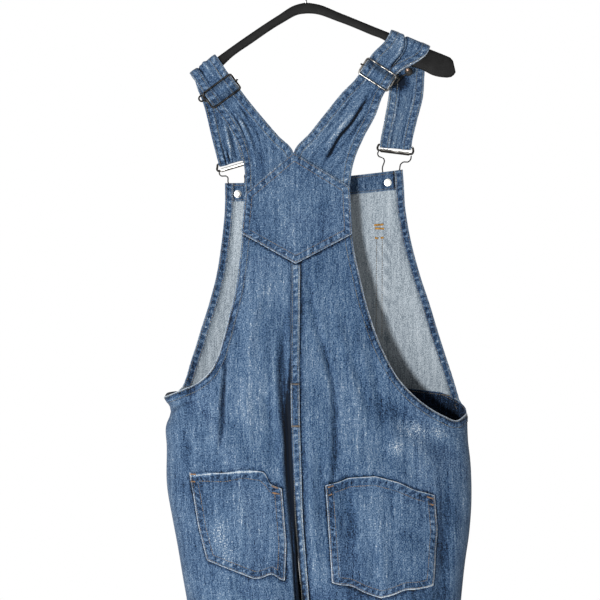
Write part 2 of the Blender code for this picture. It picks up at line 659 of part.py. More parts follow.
def strap_stations(spec):
    """The strap's whole way: yoke, slide, over the hanger, round the buckle, and back to the slide's bar."""
    way = []
    for left_x, left_z, right_x, right_z in spec["tail"]:
        way.append(np.array([(x, surface_y(BACK, x, z) + STRAP / 2 + GAP, z)
                             for x, z in ((left_x, left_z), (right_x, right_z))]))
    slide_x, slide_z, slide_tilt = spec["slide"]
    slide = np.array([slide_x, SLIDE_Y, slide_z])
    up = up_vector(slide_tilt)
    for along, rise in SLIDE_WAY:
        way.append(station(slide + up * along + np.array([0, -rise, 0]), slide_tilt, STRAP_WIDTH))
    crest_x, crest_z, crest_tilt, crest_width = spec["crest"]
    crest_up = up_vector(crest_tilt)
    centre = np.array([crest_x, 0, crest_z]) - crest_up * (LAYER_OUTER + STRAP / 2)
    way += bend(centre, crest_tilt, crest_width, LAYER_OUTER, (180, 150, 120, 90, 60, 30, 0))
    front = spec["front"]
    for x, y, z, tilt, width in front:
        way.append(station((x, y, z), tilt, width))
    bar_x, bar_y, bar_z, bar_tilt = spec["buckle_bar"]
    loop = BAR_WIRE + GAP + STRAP / 2
    way += bend((bar_x, bar_y, bar_z), bar_tilt, STRAP_WIDTH, loop, (20, -20, -60, -100, -140, -180, -200))
    for x, y, z, tilt, width in front[::-1]:
        way.append(station((x, y - STRAP - LAYERS_APART, z), tilt, width - 1))
    way += bend(centre, crest_tilt, crest_width - 1, LAYER_INNER, (0, 30, 60, 90, 120, 150, 180))
    inner = np.array([0, UNDER_SLIDE + STRAP + GAP, 0])
    way.append(station(slide + up * (SLIDE_HALF[1] + 1) + inner, slide_tilt, STRAP_WIDTH - 2))
    way += bend(slide, slide_tilt, LOOP_WIDTH, loop, (30, -10, -50, -90, -130, -170, -200))
    return np.array(way)


def make_strap(half, side):
    spec = STRAPS[half]
    way = strap_stations(spec)
    across = np.array(spec["across"])
    grid = way[:, :1] + (way[:, 1:] - way[:, :1]) * across[None, :, None]
    normal = grid_normals(grid)
    if normal[0, :, 1].mean() > 0:
        normal = -normal
    tail_rows = len(spec["tail"])
    strength = np.zeros(len(way))
    strength[2:tail_rows] = 1
    grid = grid + normal * (np.array(spec["pleat"])[None, :] * strength[:, None])[..., None]
    wall("strap_" + side, cloth_mesh(grid, (0, -1, 0)), STRAP, 0)


# ---- metal parts ----
def local(origin, tilt):
    """Place a point given as (across, along, out) beside an origin: out is towards the back."""
    base, across, up = np.array(origin, dtype=float), across_vector(tilt), up_vector(tilt)
    return lambda a, b, out: base + across * a + up * b + np.array([0, -out, 0])


def rounded_rectangle(half_width, half_height, radius, corner_points=4):
    """Corner points of a rectangle with round corners, as (across, along)."""
    points = []
    for i in range(4):
        cx = (half_width - radius) * (1, -1, -1, 1)[i]
        cy = (half_height - radius) * (1, 1, -1, -1)[i]
        for k in range(corner_points):
            angle = math.pi / 2 * (i + k / (corner_points - 1))
            points.append((cx + radius * math.cos(angle), cy + radius * math.sin(angle)))
    return points


def make_slide(half, side):
    """Wire slide: a round-cornered frame and a bar with a curl at one end and an eye at the other."""
    x, z, tilt = STRAPS[half]["slide"]
    at = local((x, SLIDE_Y, z), tilt)
    frame = [at(a, b, 0) for a, b in rounded_rectangle(*SLIDE_HALF, SLIDE_CORNER)]
    wire("slide_" + side, frame, SLIDE_WIRE, WIRE, cyclic=True)
    reach = SLIDE_HALF[0]
    bar = [at(-half * (reach + CURL * math.sin(math.radians(t))), 0, -CURL * math.cos(math.radians(t)))
           for t in (200, 160, 120, 80, 40, 0)]
    for end in (-half, half):
        knee = [at(end * (reach - 2.2), 0, -CURL + 0.8), at(end * (reach - 4.8), 0, 0)]
        bar += knee if end == -half else knee[::-1]
    bar.append(at(half * reach, 0, -CURL - 0.1))
    eye_a, eye_b = EYE_PLACE[half]
    for t in range(-90, 211, 50):
        bar.append(at(eye_a + half * EYE_RADIUS * math.cos(math.radians(t)),
                      eye_b + EYE_RADIUS * math.sin(math.radians(t)), -CURL - 0.1))
    wire("slide_bar_" + side, bar, BAR_WIRE, WIRE)


def make_buckle(half, side):
    """Buckle: a bar in the strap's loop, side arms, a thicker lower bar and the wire that hooks the button."""
    spec = STRAPS[half]
    x, y, z, tilt = spec["buckle_bar"]
    low_x, low_y, low_z, low_tilt = spec["lower_bar"]
    top, low = local((x, y, z), tilt), local((low_x, low_y, low_z), low_tilt)
    end = LOWER_BAR_HALF + 0.4
    frame = [low(-end, 0, 0), low(-BUCKLE_HALF, 0.3, 0), low(-BUCKLE_HALF - 1.2, 2.5, 0)]
    frame += [top(-BUCKLE_HALF - 1, -2.5, 0), top(-BUCKLE_HALF, 0, 0), top(0, 0, 0)]
    frame += [top(BUCKLE_HALF, 0, 0), top(BUCKLE_HALF + 1, -2.5, 0)]
    frame += [low(BUCKLE_HALF + 1.2, 2.5, 0), low(BUCKLE_HALF, 0.3, 0), low(end, 0, 0)]
    wire("buckle_frame_" + side, frame, BAR_WIRE, WIRE)
    tube = [low(a, 0, 0) for a in (-LOWER_BAR_HALF, 0, LOWER_BAR_HALF)]
    wire("buckle_bar_" + side, tube, LOWER_BAR_RADIUS, SILVER, sides=10)
    make_hook_wire(spec, side, (low_x, low_y, low_z))


def make_hook_wire(spec, side, start):
    """Bottle-shaped wire from the lower bar down the front of the bib and round the button's shank."""
    button_x, button_z = spec["button"]
    run = np.array([button_x - start[0], button_z - start[2]])
    length = np.linalg.norm(run)
    down = run / length
    across = np.array([-down[1], down[0]])
    half_shape = list(HOOK_SHOULDERS) + [(a, length - b) for a, b in HOOK_THROAT]
    shape = [(-a, b) for a, b in half_shape] + [(0, length + HOOK_END)] + half_shape[::-1]
    points = []
    for a, b in shape:
        px = start[0] + across[0] * a + down[0] * b
        pz = start[2] + across[1] * a + down[1] * b
        on_bib = surface_y(FRONT, px, min(pz, -300)) + fold_height(FRONT, np.array([px, 0, pz]))
        on_bib += BUTTON_WIRE + 1
        blend = min(max((b - 3) / 12, 0), 1)
        points.append((px, start[1] + blend * (on_bib - start[1]), pz))
    wire("hook_wire_" + side, points, BUTTON_WIRE, WIRE)


def bib_surface(x, z):
    """Point of the bib's outer face."""
    return Vector((x, surface_y(FRONT, x, z) + float(fold_height(FRONT, np.array([x, 0, z]))), z))


def make_button(half, side):
    """Shank button on the bib's outside, and its rivet on the facing inside."""
    x, z = STRAPS[half]["button"]
    spot, slope_x, slope_z = [bib_surface(x + dx, z + dz) for dx, dz in ((0, 0), (2, 0), (0, 2))]
    outward = (slope_z - spot).cross(slope_x - spot).normalized()
    turned("bib_button_" + side, BUTTON, spot + outward * 2 * GAP, outward, SILVER)
    turned("bib_rivet_" + side, RIVET, spot - outward * (CLOTH + OVERLAY + 3 * GAP), -outward, SILVER)


# ---- hanger ----
def make_hanger():
    """Flat arms with round edges, slim between the straps and broad at the shoulders, and a steel hook."""
    mesh = bmesh.new()
    rings = []
    half_sides = ARM_SIDES // 2
    for x, z, height, lean in HANGER:
        down_x, down_z = math.sin(math.radians(lean)), -math.cos(math.radians(lean))
        loop = []
        for i in range(ARM_SIDES):
            angle = math.pi * (i % half_sides) / (half_sides - 1)
            if i < half_sides:
                side_y, drop = math.cos(angle), ARM_HALF * (1 - math.sin(angle))
            else:
                side_y, drop = -math.cos(angle), height - ARM_HALF * (1 - math.sin(angle))
            point = Vector((x + down_x * drop, ARM_HALF * side_y, z + down_z * drop))
            loop.append(mesh.verts.new(point * MM))
        rings.append(loop)
    for low, high in zip(rings, rings[1:]):
        for i in range(ARM_SIDES):
            j = (i + 1) % ARM_SIDES
            mesh.faces.new((low[i], low[j], high[j], high[i]))
    mesh.faces.new(rings[0])
    mesh.faces.new(rings[-1][::-1])
    bmesh.ops.recalc_face_normals(mesh, faces=mesh.faces[:])
    data = bpy.data.meshes.new("hanger_arms")
    mesh.to_mesh(data)
    mesh.free()
    finish(bpy.data.objects.new("hanger_arms", data), CHARCOAL)
    centre_z = HOOK_WIRE - HOOK_RADIUS
    stem_foot = max(row[1] for row in HANGER if row[0] == 0) + GAP
    path = [(x, 0, stem_foot + rise) for x, rise in STEM]
    for angle in HOOK_ANGLES:
        turn = math.radians(angle)
        path.append((HOOK_RADIUS * math.cos(turn), 0, centre_z + HOOK_RADIUS * math.sin(turn)))
    wire("hanger_hook", path, HOOK_WIRE, STEEL, sides=8)


clear_scene()
DUNGAREES = make_collection("denim_dungarees")
BACK_GRIDS = make_backs()
make_back_pockets(BACK_GRIDS)
make_yoke()
make_fronts(BACK_GRIDS)
make_waistband()
make_bib()
for strap_half, strap_side in ((LEFT, "left"), (RIGHT, "right")):
    make_strap(strap_half, strap_side)
    make_slide(strap_half, strap_side)
    make_buckle(strap_half, strap_side)
    make_button(strap_half, strap_side)
make_hanger()
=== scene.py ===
"""Looks of the denim dungarees: cloth, sewing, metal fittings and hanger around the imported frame.

Frame: +Z up, the back of the garment towards -Y, the bib towards +Y, +X to the right as seen from
behind, origin inside the top of the hanger's hook.  Tables are in millimetres and meshes in metres.
Each piece is worked out from the same outlines as its solid, with finer steps.
"""

import bpy
import numpy as np
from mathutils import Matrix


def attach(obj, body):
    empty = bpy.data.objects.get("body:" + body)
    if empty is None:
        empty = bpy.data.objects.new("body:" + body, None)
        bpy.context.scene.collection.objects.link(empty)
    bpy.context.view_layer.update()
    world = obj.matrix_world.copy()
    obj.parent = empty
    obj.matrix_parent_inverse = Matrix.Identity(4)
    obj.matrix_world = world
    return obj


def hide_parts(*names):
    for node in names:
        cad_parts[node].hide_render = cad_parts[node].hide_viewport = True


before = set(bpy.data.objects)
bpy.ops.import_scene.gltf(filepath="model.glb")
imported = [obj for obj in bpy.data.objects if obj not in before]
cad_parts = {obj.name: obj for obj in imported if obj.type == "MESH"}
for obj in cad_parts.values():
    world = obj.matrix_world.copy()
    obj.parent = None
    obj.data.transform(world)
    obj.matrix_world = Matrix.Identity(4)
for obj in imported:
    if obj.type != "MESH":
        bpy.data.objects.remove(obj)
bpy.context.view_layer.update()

# ======== Back panels ========
# Two panels of washed 12 oz denim, cut from the yoke and the armhole down to the hem and sewn together
# down the middle.  Each follows a rounded body that parts into two legs below the crotch.
MM = 0.001
LEFT, RIGHT = -1, 1
HALVES = ((LEFT, "left"), (RIGHT, "right"))
BACK, FRONT = -1, 1
CLOTH, OVERLAY = 1.5, 1.2      # a panel, and a patch or fold sewn onto it
GAP, SEAM = 0.3, 0.1           # clearance between pieces, half the joint line between two panels
POWER = 2.6                    # roundness of the body's sections, 2 is an ellipse
CROTCH_Z, SEAM_TOP_Z = -986, -421
FAN_Z, LEG_Z = -779, -930      # a panel's rows fan out from its top edge down to the first, the other starts its leg
HEM_Z = {LEFT: -1677, RIGHT: -1693}
WAIST_LEFT, WAIST_RIGHT = (-198, -622), (226, -645)
TO_BACK, TO_FRONT = (0, -1, 0), (0, 1, 0)
LAP, EDGE, LEG_HEM = 12, 4, 25     # turned armhole edge, narrow column beside a side seam, turned leg hem
STITCH_ROWS, HEM_ROW = (2, 10), (LEG_HEM - 2,)     # rows of stitches, from the edge in
HEM_STEPS = np.array([24, 22, 18, 14, 9, 5, 3, 2, 1, 0])     # rows of a panel's grid over its hem
FIELD = 99                     # stands for the distance to an edge that is far off

# height, centre seam x
SEAM_X = ((-421, -20), (-666, -20), (-729, -18), (-789, -16), (-851, -11), (-899, -7), (-949, -4), (-986, -2))
# height, outline x of each side
OUTER_X = {
    LEFT: ((-560, -198), (-622, -198), (-641, -188.5), (-664, -195.6), (-690, -194.5), (-746, -194), (-788, -187),
           (-830, -179), (-872, -172), (-907, -166), (-986, -160), (-1109, -155), (-1309, -152), (-1509, -151),
           (-1693, -152)),
    RIGHT: ((-560, 228), (-645, 226), (-683, 227), (-709, 230), (-809, 229), (-851, 223), (-907, 217),
            (-986, 211), (-1109, 206), (-1309, 198), (-1509, 192), (-1693, 190)),
}
# height, inner line x of each leg below the crotch
INNER_X = {
    LEFT: ((-986, -2.2), (-1030, -5), (-1109, -10), (-1309, -20), (-1509, -24), (-1693, -22)),
    RIGHT: ((-986, -1.8), (-1030, 3), (-1109, 10), (-1309, 26), (-1509, 36), (-1693, 40)),
}
# height, depth from the side seam to the back, and to the front
DEPTH = {
    BACK: ((-209, 15.5), (-282, 24), (-339, 29), (-396, 34), (-439, 38), (-529, 47), (-649, 58), (-709, 64),
           (-789, 70), (-869, 72), (-986, 66), (-1109, 54), (-1309, 46), (-1509, 40), (-1693, 34)),
    FRONT: ((-299, 27), (-359, 33), (-459, 44), (-559, 55), (-649, 60), (-769, 64), (-909, 66),
            (-986, 62), (-1109, 52), (-1309, 45), (-1509, 39), (-1693, 33)),
}
LEG_FULLNESS, LEG_TURN = {LEFT: 1.15, RIGHT: 0.9}, 160
# height, how far each half has turned from one shared body (0) into a leg of its own (1)
RISE = ((-609, 0), (-709, 0.12), (-809, 0.38), (-899, 0.70), (-949, 0.88), (-986, 1))
# armhole edge, x and z from the yoke's corner to the side seam
ARMHOLE = {
    LEFT: ((-87, -381), (-91, -426), (-99, -481), (-108, -515), (-114, -540), (-123, -568), (-133, -586),
           (-147, -599), (-172, -611), WAIST_LEFT),
    RIGHT: ((63, -383), (67, -418), (75, -455), (87, -503), (106, -555), (131, -599), (158, -626),
            (193, -648), (208, -654), WAIST_RIGHT),
}
# long folds down the cloth, each a row of height, x, width, depth (a minus sign is a valley)
LONG_FOLDS = {
    BACK: (
        # the cleft left of the centre seam, the crease right of it, and those at the left side
        ((-500, -29, 4, 0), (-530, -31, 5, -2.0), (-575, -33, 5.5, -7), (-620, -31, 5.5, -12), (-665, -27, 5, -13),
         (-729, -24, 5, -13), (-789, -18.5, 4.6, -12), (-851, -13, 4.6, -12), (-905, -9.5, 5, -10), (-970, -6, 7, 0)),
        ((-440, -2, 5, 0), (-462, 3, 5, -2), (-511, 12, 4.5, -3), (-556, 25, 4.2, -4.5), (-600, 37, 4, -5.2),
         (-648, 40, 3.8, -5), (-690, 40, 3.6, -4.6), (-725, 38.5, 3.4, -4.4), (-762, 34, 5, 0)),
        ((-550, -107, 3, 0), (-580, -111, 3.2, -4), (-625, -115, 3.6, -6.5), (-665, -116, 3.5, -5),
         (-700, -119, 4, 0)),
        ((-545, -140, 10, 0), (-640, -166, 9, -3.0), (-700, -160, 9, -2.2), (-760, -154, 9, 0)),
        # short ones under the left corner
        ((-622, -150, 5, 0), (-632, -168, 5, -2.4), (-641, -186, 5, -3.2), (-650, -196, 5, 0)),
        # crowns beside them
        ((-440, -60, 14, 0), (-540, -76, 15, 2.2), (-640, -78, 16, 1.6), (-720, -90, 18, 0)),
        ((-470, -46, 8, 0), (-560, -58, 9, 1.6), (-640, -62, 9, 1.0), (-700, -60, 9, 0)),
        ((-440, 24, 8, 0), (-540, 50, 9, 1.6), (-620, 70, 10, 1.8), (-720, 78, 12, 0)),
        ((-470, 56, 7, 0), (-560, 88, 8, -1.2), (-640, 104, 9, -1.8), (-720, 110, 10, 0)),
        ((-640, 6, 10, 0), (-700, 8, 10, 2.0), (-800, 10, 12, 2.4), (-900, 16, 12, 0)),
        # from the pockets down
        ((-720, 50, 10, 0), (-760, 56, 12, -3.0), (-830, 60, 12, -3.5), (-900, 64, 14, 0)),
        ((-700, 188, 10, 0), (-760, 192, 12, -3.5), (-850, 190, 12, -5), (-930, 180, 14, 0)),
        ((-780, 96, 9, 0), (-850, 104, 10, 2.4), (-930, 104, 12, 0)),
        ((-900, -40, 22, 0), (-980, -60, 24, -5.5), (-1180, -74, 26, -5), (-1280, -70, 28, 0)),
        ((-900, 60, 22, 0), (-980, 80, 26, -5.5), (-1180, 98, 28, -6), (-1300, 96, 28, 0)),
        ((-1330, -112, 22, 0), (-1440, -108, 24, 4.5), (-1600, -98, 24, 4), (-1693, -96, 24, 3)),
        ((-1320, 118, 24, 0), (-1440, 118, 26, 4.5), (-1600, 114, 26, 4), (-1693, 112, 26, 3)),
        ((-1250, -50, 12, 0), (-1380, -54, 14, -3), (-1560, -60, 15, -2.5), (-1650, -60, 16, 0)),
        ((-1260, 60, 12, 0), (-1390, 74, 14, -3), (-1560, 76, 15, -2.5), (-1660, 78, 16, 0)),
    ),
    FRONT: (
        ((-700, -20, 20, 0), (-760, -44, 20, -4), (-850, -60, 22, 0)),
        ((-700, 20, 20, 0), (-760, 56, 20, -4), (-850, 80, 22, 0)),
        ((-760, -90, 20, 0), (-900, -90, 22, 4.5), (-1150, -86, 24, 4.5), (-1290, -84, 24, 0)),
        ((-760, 112, 22, 0), (-900, 112, 24, 4.5), (-1150, 108, 26, 5), (-1290, 106, 26, 0)),
        ((-1380, -90, 20, 0), (-1450, -90, 22, -3.5), (-1600, -86, 22, -3.5), (-1693, -86, 22, -2)),
        ((-1380, 110, 22, 0), (-1450, 110, 24, -3.5), (-1600, 112, 24, -3.5), (-1693, 112, 24, -2)),
        ((-420, -60, 16, 0), (-500, -66, 18, 3), (-610, -74, 18, 0)),
        ((-430, 70, 16, 0), (-500, 80, 18, -3), (-610, 96, 18, 0)),
    ),
}
# short creases and puckers: start x, z, end x, z, width, depth
FOLDS = {
    BACK: (
        (120, -640, 196, -700, 16, -3.0), (150, -655, 205, -668, 6, -1.8), (110, -668, 60, -700, 7, 1.0),
        (-150, -640, -60, -672, 8, -1.2), (60, -560, 92, -650, 6, -1.2), (92, -540, 126, -612, 5, 1.2),
        (-60, -470, -84, -560, 8, 1.2), (-96, -470, -112, -540, 5, -1.6), (70, -470, 96, -560, 5, -1.4),
        (-180, -620, -150, -690, 7, 1.6), (-86, -590, -74, -690, 5, 1.3), (-58, -610, -40, -700, 6, -1.5),
        (-130, -1180, -60, -1230, 22, -3.5), (70, -1200, 150, -1240, 22, -3.5),
        (-180, -900, -90, -925, 9, -1.6), (190, -905, 100, -935, 10, -1.8), (-30, -905, -90, -960, 9, -1.6),
        (28, -905, 100, -965, 9, -1.6), (-20, -1010, -90, -1060, 12, -2.2), (20, -1010, 110, -1075, 12, -2.2),
        (-60, -1300, -140, -1330, 12, -2.0), (40, -1310, 140, -1345, 12, -2.0),
        (-40, -1430, -130, -1450, 11, -1.6), (60, -1450, 160, -1480, 11, -1.6),
    ),
    FRONT: (
        (-130, -1190, -50, -1215, 22, -4.0), (60, -1200, 160, -1225, 24, -4.0),
        (-30, -880, -100, -830, 10, -2.0), (25, -880, 110, -820, 10, -2.0), (-30, -930, -120, -960, 11, -2.0),
        (30, -930, 130, -965, 11, -2.0), (-40, -1290, -130, -1320, 12, -2.0), (50, -1300, 150, -1330, 12, -2.0),
    ),
}
# slow waves all over the cloth: x and z lengths of the wave, start, height
WAVES = ((47, 160, 0.3, 0.35), (83, 71, 1.9, 0.4), (31, 290, 4.1, 0.22), (140, 52, 2.6, 0.3))
WAVES_BELOW, WAVES_FADE = 440, 100     # they start this far down and are at their full height this much lower
SIDE_FADE = 4          # how far in from the side seams, seen from behind, the folds fade
FOLD_CORE, FOLD_TAIL = 0.35, 2.2       # share of a short crease's length on either side of its middle; its ends' fade


def bell(distance, width):
    """Bell curve exp(-(distance / width)²)."""
    return np.exp(-((distance / width) ** 2))


def fade_in(distance, span):
    """0 up to a distance of 0, then rising evenly to 1 at span."""
    return np.clip(distance / span, 0, 1)


def crease(height, across):
    """Section of a long fold, height·(1 - 0.45·s²)·exp(-s²), a bell with low shoulders; across is s²."""
    return height * (1 - 0.45 * across) * np.exp(-across)


def blots(x, z, rows):
    """Sum of round patches, strength·exp(-(from middle / half width)² - (from middle / half height)²)."""
    return sum(s * np.exp(-((x - cx) / w) ** 2 - ((z - cz) / h) ** 2) for cx, cz, w, h, s in rows)


def through(rows, at):
    """Smooth curve through rows of (place, values): cubics between the rows, each row's slope from its neighbours."""
    table = np.array(rows, dtype=float)
    table = table[np.argsort(table[:, 0])]
    place, value = table[:, 0], table[:, 1:]
    slope = np.gradient(value, place, axis=0)
    at = np.clip(np.asarray(at, dtype=float), place[0], place[-1])
    i = np.clip(np.searchsorted(place, at) - 1, 0, len(place) - 2)
    span = (place[i + 1] - place[i])[..., None]
    t = (at - place[i])[..., None] / span
    curve = ((2 * t**3 - 3 * t**2 + 1) * value[i] + (t**3 - 2 * t**2 + t) * span * slope[i]
             + (3 * t**2 - 2 * t**3) * value[i + 1] + (t**3 - t**2) * span * slope[i + 1])
    return curve[..., 0] if value.shape[1] == 1 else curve


def run_along(points):
    """Distance along a line of points from its first one."""
    return np.concatenate([[0], np.cumsum(np.linalg.norm(np.diff(points, axis=0), axis=1))])


def even_path(points, count):
    """Points spread evenly along the smooth curve through the given ones."""
    given = np.array(points, dtype=float)
    run = run_along(given)
    dense = through(np.column_stack([run, given]), np.linspace(0, run[-1], 40 * len(given)))
    length = run_along(dense)
    even = np.linspace(0, length[-1], count)
    return np.stack([np.interp(even, length, axis) for axis in dense.T], axis=1)


def quarter(half, face, z):
    """Middle, reach, depth and rise, at heights z, of |(x - middle) / reach|^power + |y / depth|^power = 1."""
    rise = np.clip(through(RISE, z), 0, 1)
    inner = np.where(z > CROTCH_Z, through(SEAM_X, z), through(INNER_X[half], z)) + half * SEAM
    outer = through(OUTER_X[half], z)
    reach = np.abs(outer - inner) / (1 + rise)
    turned = fade_in(CROTCH_Z - z, LEG_TURN)
    return outer - half * reach, reach, through(DEPTH[face], z) * (1 + (LEG_FULLNESS[half] - 1) * turned), rise


# heights and shares of the way round at which the body is tabled, and steps of each ring before it is evened out
HEIGHTS, SHARES, RING_STEPS = np.arange(-1696.0, -200.0, 4.0), np.linspace(0, 1, 161), 240


def ring_table(half, face):
    """x and y for each height and each even share of the way round, and the length of the way at each height.  The
    angle runs from the centre seam to the side seam, x = middle + reach·cos^(2/power), y = depth·sin^(2/power)."""
    middle, reach, depth, rise = (v[:, None] for v in quarter(half, face, HEIGHTS))
    angle = (np.pi - np.arccos(rise ** (POWER / 2))) * np.linspace(1, 0, RING_STEPS)
    cos, sin = np.cos(angle), np.clip(np.sin(angle), 0, 1)
    x = middle + half * reach * np.sign(cos) * np.abs(cos) ** (2 / POWER)
    y = face * depth * sin ** (2 / POWER)
    run = np.stack([run_along(line) for line in np.stack([x, y], axis=-1)])
    even = [[np.interp(SHARES, r / r[-1], line) for r, line in zip(run, axis)] for axis in (x, y)]
    return np.array(even[0]), np.array(even[1]), run[:, -1]


RINGS = {(half, face): ring_table(half, face) for half in (LEFT, RIGHT) for face in (BACK, FRONT)}


def table_row(z):
    """Number of the table's row below heights z, and the part of a step above it."""
    row = np.clip((z - HEIGHTS[0]) / (HEIGHTS[1] - HEIGHTS[0]), 0, len(HEIGHTS) - 1.001)
    return row.astype(int), row % 1


def way_length(half, face, z):
    """Length of the way round a quarter of the body at heights z."""
    return RINGS[half, face][2][table_row(np.asarray(z, dtype=float))[0]]


def on_body(half, face, share, z):
    """Points of the body at a share of the way from centre to side seam and a height: four table entries mixed."""
    share, z = np.broadcast_arrays(np.asarray(share, dtype=float), z)
    x, y, length = RINGS[half, face]
    i, a = table_row(z)
    clear = SEAM / length[i]
    column = np.clip(share, clear, 1 - clear) * (len(SHARES) - 1.001)
    j, b = column.astype(int), column % 1
    mixed = [(1 - a) * ((1 - b) * t[i, j] + b * t[i, j + 1]) + a * ((1 - b) * t[i + 1, j] + b * t[i + 1, j + 1])
             for t in (x, y)]
    return np.stack([*mixed, z], axis=-1)


def share_at(half, face, x, z):
    """Share of the way round at which the body has this x: the number of table steps that x has passed."""
    x = half * np.asarray(x, dtype=float)
    i, a = table_row(np.asarray(z, dtype=float))
    table = RINGS[half, face][0]
    steps = half * (table[i] * (1 - a)[..., None] + table[i + 1] * a[..., None])
    j = np.clip((steps < x[..., None]).sum(axis=-1) - 1, 0, len(SHARES) - 2)[..., None]
    low, high = np.take_along_axis(steps, j, -1)[..., 0], np.take_along_axis(steps, j + 1, -1)[..., 0]
    return (j[..., 0] + fade_in(x - low, high - low)) / (len(SHARES) - 1)


def body_y(face, x, z):
    """Body at (x, z): y = depth·(1 - |(x - middle) / reach|^power)^(1/power), of the half that x is on."""
    both = zip(quarter(LEFT, face, z), quarter(RIGHT, face, z))
    middle, reach, depth, _ = [np.where(x > through(SEAM_X, z), right, left) for left, right in both]
    part = np.clip(np.abs((x - middle) / reach), 0, 1)
    return face * depth * (1 - part**POWER) ** (1 / POWER)


def fold_height(face, x, z):
    """Sum of the folds, each a bell across its line with a low shoulder on either side, fading past its ends, and the
    slow waves of washed cloth; all of it fades at the side seams, where back and front meet."""
    total = sum(h * np.sin(x * 2 * np.pi / wx + z * 2 * np.pi / wz + start) for wx, wz, start, h in WAVES)
    total = total * fade_in(np.abs(z) - WAVES_BELOW, WAVES_FADE)
    for rows in LONG_FOLDS[face]:
        at = through(rows, z)
        total = total + crease(at[..., 2], ((x - at[..., 0]) / at[..., 1]) ** 2)
    for x0, z0, x1, z1, width, height in FOLDS[face]:
        span = np.array([x1 - x0, z1 - z0], dtype=float)
        length = np.linalg.norm(span)
        along = ((x - x0) * span[0] + (z - z0) * span[1]) / length**2
        across = ((x - x0) * span[1] - (z - z0) * span[0]) / length
        beyond = np.maximum(0, np.abs(along - 0.5) - FOLD_CORE) * length
        total = total + height * np.exp(-(across / width) ** 2 - (beyond / (FOLD_TAIL * width)) ** 2)
    right_half = x > through(SEAM_X, z)
    from_side = np.where(right_half, through(OUTER_X[RIGHT], z) - x, x - through(OUTER_X[LEFT], z))
    return total * fade_in(from_side, SIDE_FADE)


def square_to(grid):
    """Normals of a grid, square to its two directions and as long as its cells are large."""
    return np.cross(np.gradient(grid, axis=0), np.gradient(grid, axis=1))


def normals(grid, facing):
    """Unit normals of a grid, turned so that its first row looks along facing."""
    normal = square_to(grid)
    normal /= np.linalg.norm(normal, axis=-1, keepdims=True) + 1e-9
    return normal if (normal[0] @ np.array(facing)).mean() > 0 else -normal


def raised(grid, facing, height):
    """Grid moved out by a height along its normals, on the side that faces one way."""
    return grid + normals(grid, facing) * np.array(height)[..., None]


def over_body(face, x, z, lift=0.0):
    """Points over (x, z) on the folded body, raised along its normal (-dy/dx, 1, -dy/dz), and those normals."""
    x, z = np.broadcast_arrays(np.asarray(x, dtype=float), np.asarray(z, dtype=float))
    slope_x = (body_y(face, x + 1, z) - body_y(face, x - 1, z)) / 2
    slope_z = (body_y(face, x, z + 1) - body_y(face, x, z - 1)) / 2
    normal = face * np.stack([-slope_x, np.ones_like(x), -slope_z], axis=-1)
    normal /= np.linalg.norm(normal, axis=-1, keepdims=True)
    flat = np.stack([x, body_y(face, x, z), z], axis=-1)
    return flat + normal * (fold_height(face, x, z) + lift)[..., None], normal


# half widths of a turned edge's parts: its fold, the furrow pressed in by a row of stitches, its inner step
FOLD_HALF, FURROW_HALF, STEP_HALF = 0.9, 1.1, 0.45
PUCKER_LENGTH = 11             # from one rope-like pucker to the next along a sewn edge


def turned_edge(d, width, rows, height=0.8, roll=1.0):
    """Relief at distance d from a turned edge: raised up to its width, rolled off at the fold, pressed in along
    each row of stitches."""
    relief = height / (1 + np.exp((d - width) / STEP_HALF)) - roll * bell(d, FOLD_HALF)
    for row in rows:
        relief = relief - 0.5 * height * bell(d - row, FURROW_HALF)
    return relief


def edge_wear(d, width, rows=STITCH_ROWS, fold=0.7):
    """Fading at distance d from a turned edge: pale along the fold; darker in the furrow of each row of stitches
    and just past the inner step, partly indigo kept there and partly painted shade."""
    furrows = sum(bell(d - row, 0.9) for row in rows)
    return (fold * bell(d, 1.0) - 0.32 * furrows + 0.15 * bell(d - width + 0.5, 0.8)
            - 0.25 * bell(d - width - 1.6, 1.5))


def between_rows(d, rows=STITCH_ROWS):
    """1 midway between two rows of stitches, where the puckers show, falling off towards them."""
    return bell(d - sum(rows) / 2, 0.42 * (rows[1] - rows[0]))


def hollow_wear(height):
    """Fading by the height of the folds: crowns are rubbed a little pale; valleys keep their indigo and take
    painted shade.
    """
    return 0.15 * np.clip(height, -6, 0) + 0.04 * np.clip(height, 0, 3)


def pucker(run, d, width):
    """Rope-like puckers of a sewn edge that shrank in the wash: slanting waves that fade past its width."""
    inside = fade_in(width + 3 - d, 4)
    wave = np.sin(2 * np.pi * (run + 0.5 * d) / PUCKER_LENGTH + 1.7 * np.sin(run / 23))
    return inside * (0.3 * wave + 0.12 * np.sin(2 * np.pi * (run - d) / 6.7))


def past_edges(outline, x, z):
    """Distance past each edge's line, plus is outside, of an outline that runs clockwise as seen from behind."""
    corners = np.array(outline, dtype=float)
    step = np.roll(corners, -1, axis=0) - corners
    step /= np.linalg.norm(step, axis=1, keepdims=True)
    return np.array([(z - cz) * sx - (x - cx) * sz for (cx, cz), (sx, sz) in zip(corners, step)])


# the shield-shaped yoke and the back pockets, x and z, clockwise as seen from behind
YOKE = ((-17, -282), (61, -330), (64, -396), (-14, -437), (-89, -395), (-84, -339))
POCKETS = {
    LEFT: ((-160, -724.5), (-116, -723.5), (-86, -719), (-58, -723), (-33, -744), (-27, -821), (-29, -871),
           (-72, -868), (-135, -844), (-146, -802)),
    RIGHT: ((27, -741), (58, -731), (95, -729), (125, -737), (177, -756), (181, -804), (175, -880),
            (133, -888), (103, -895), (36, -874)),
}
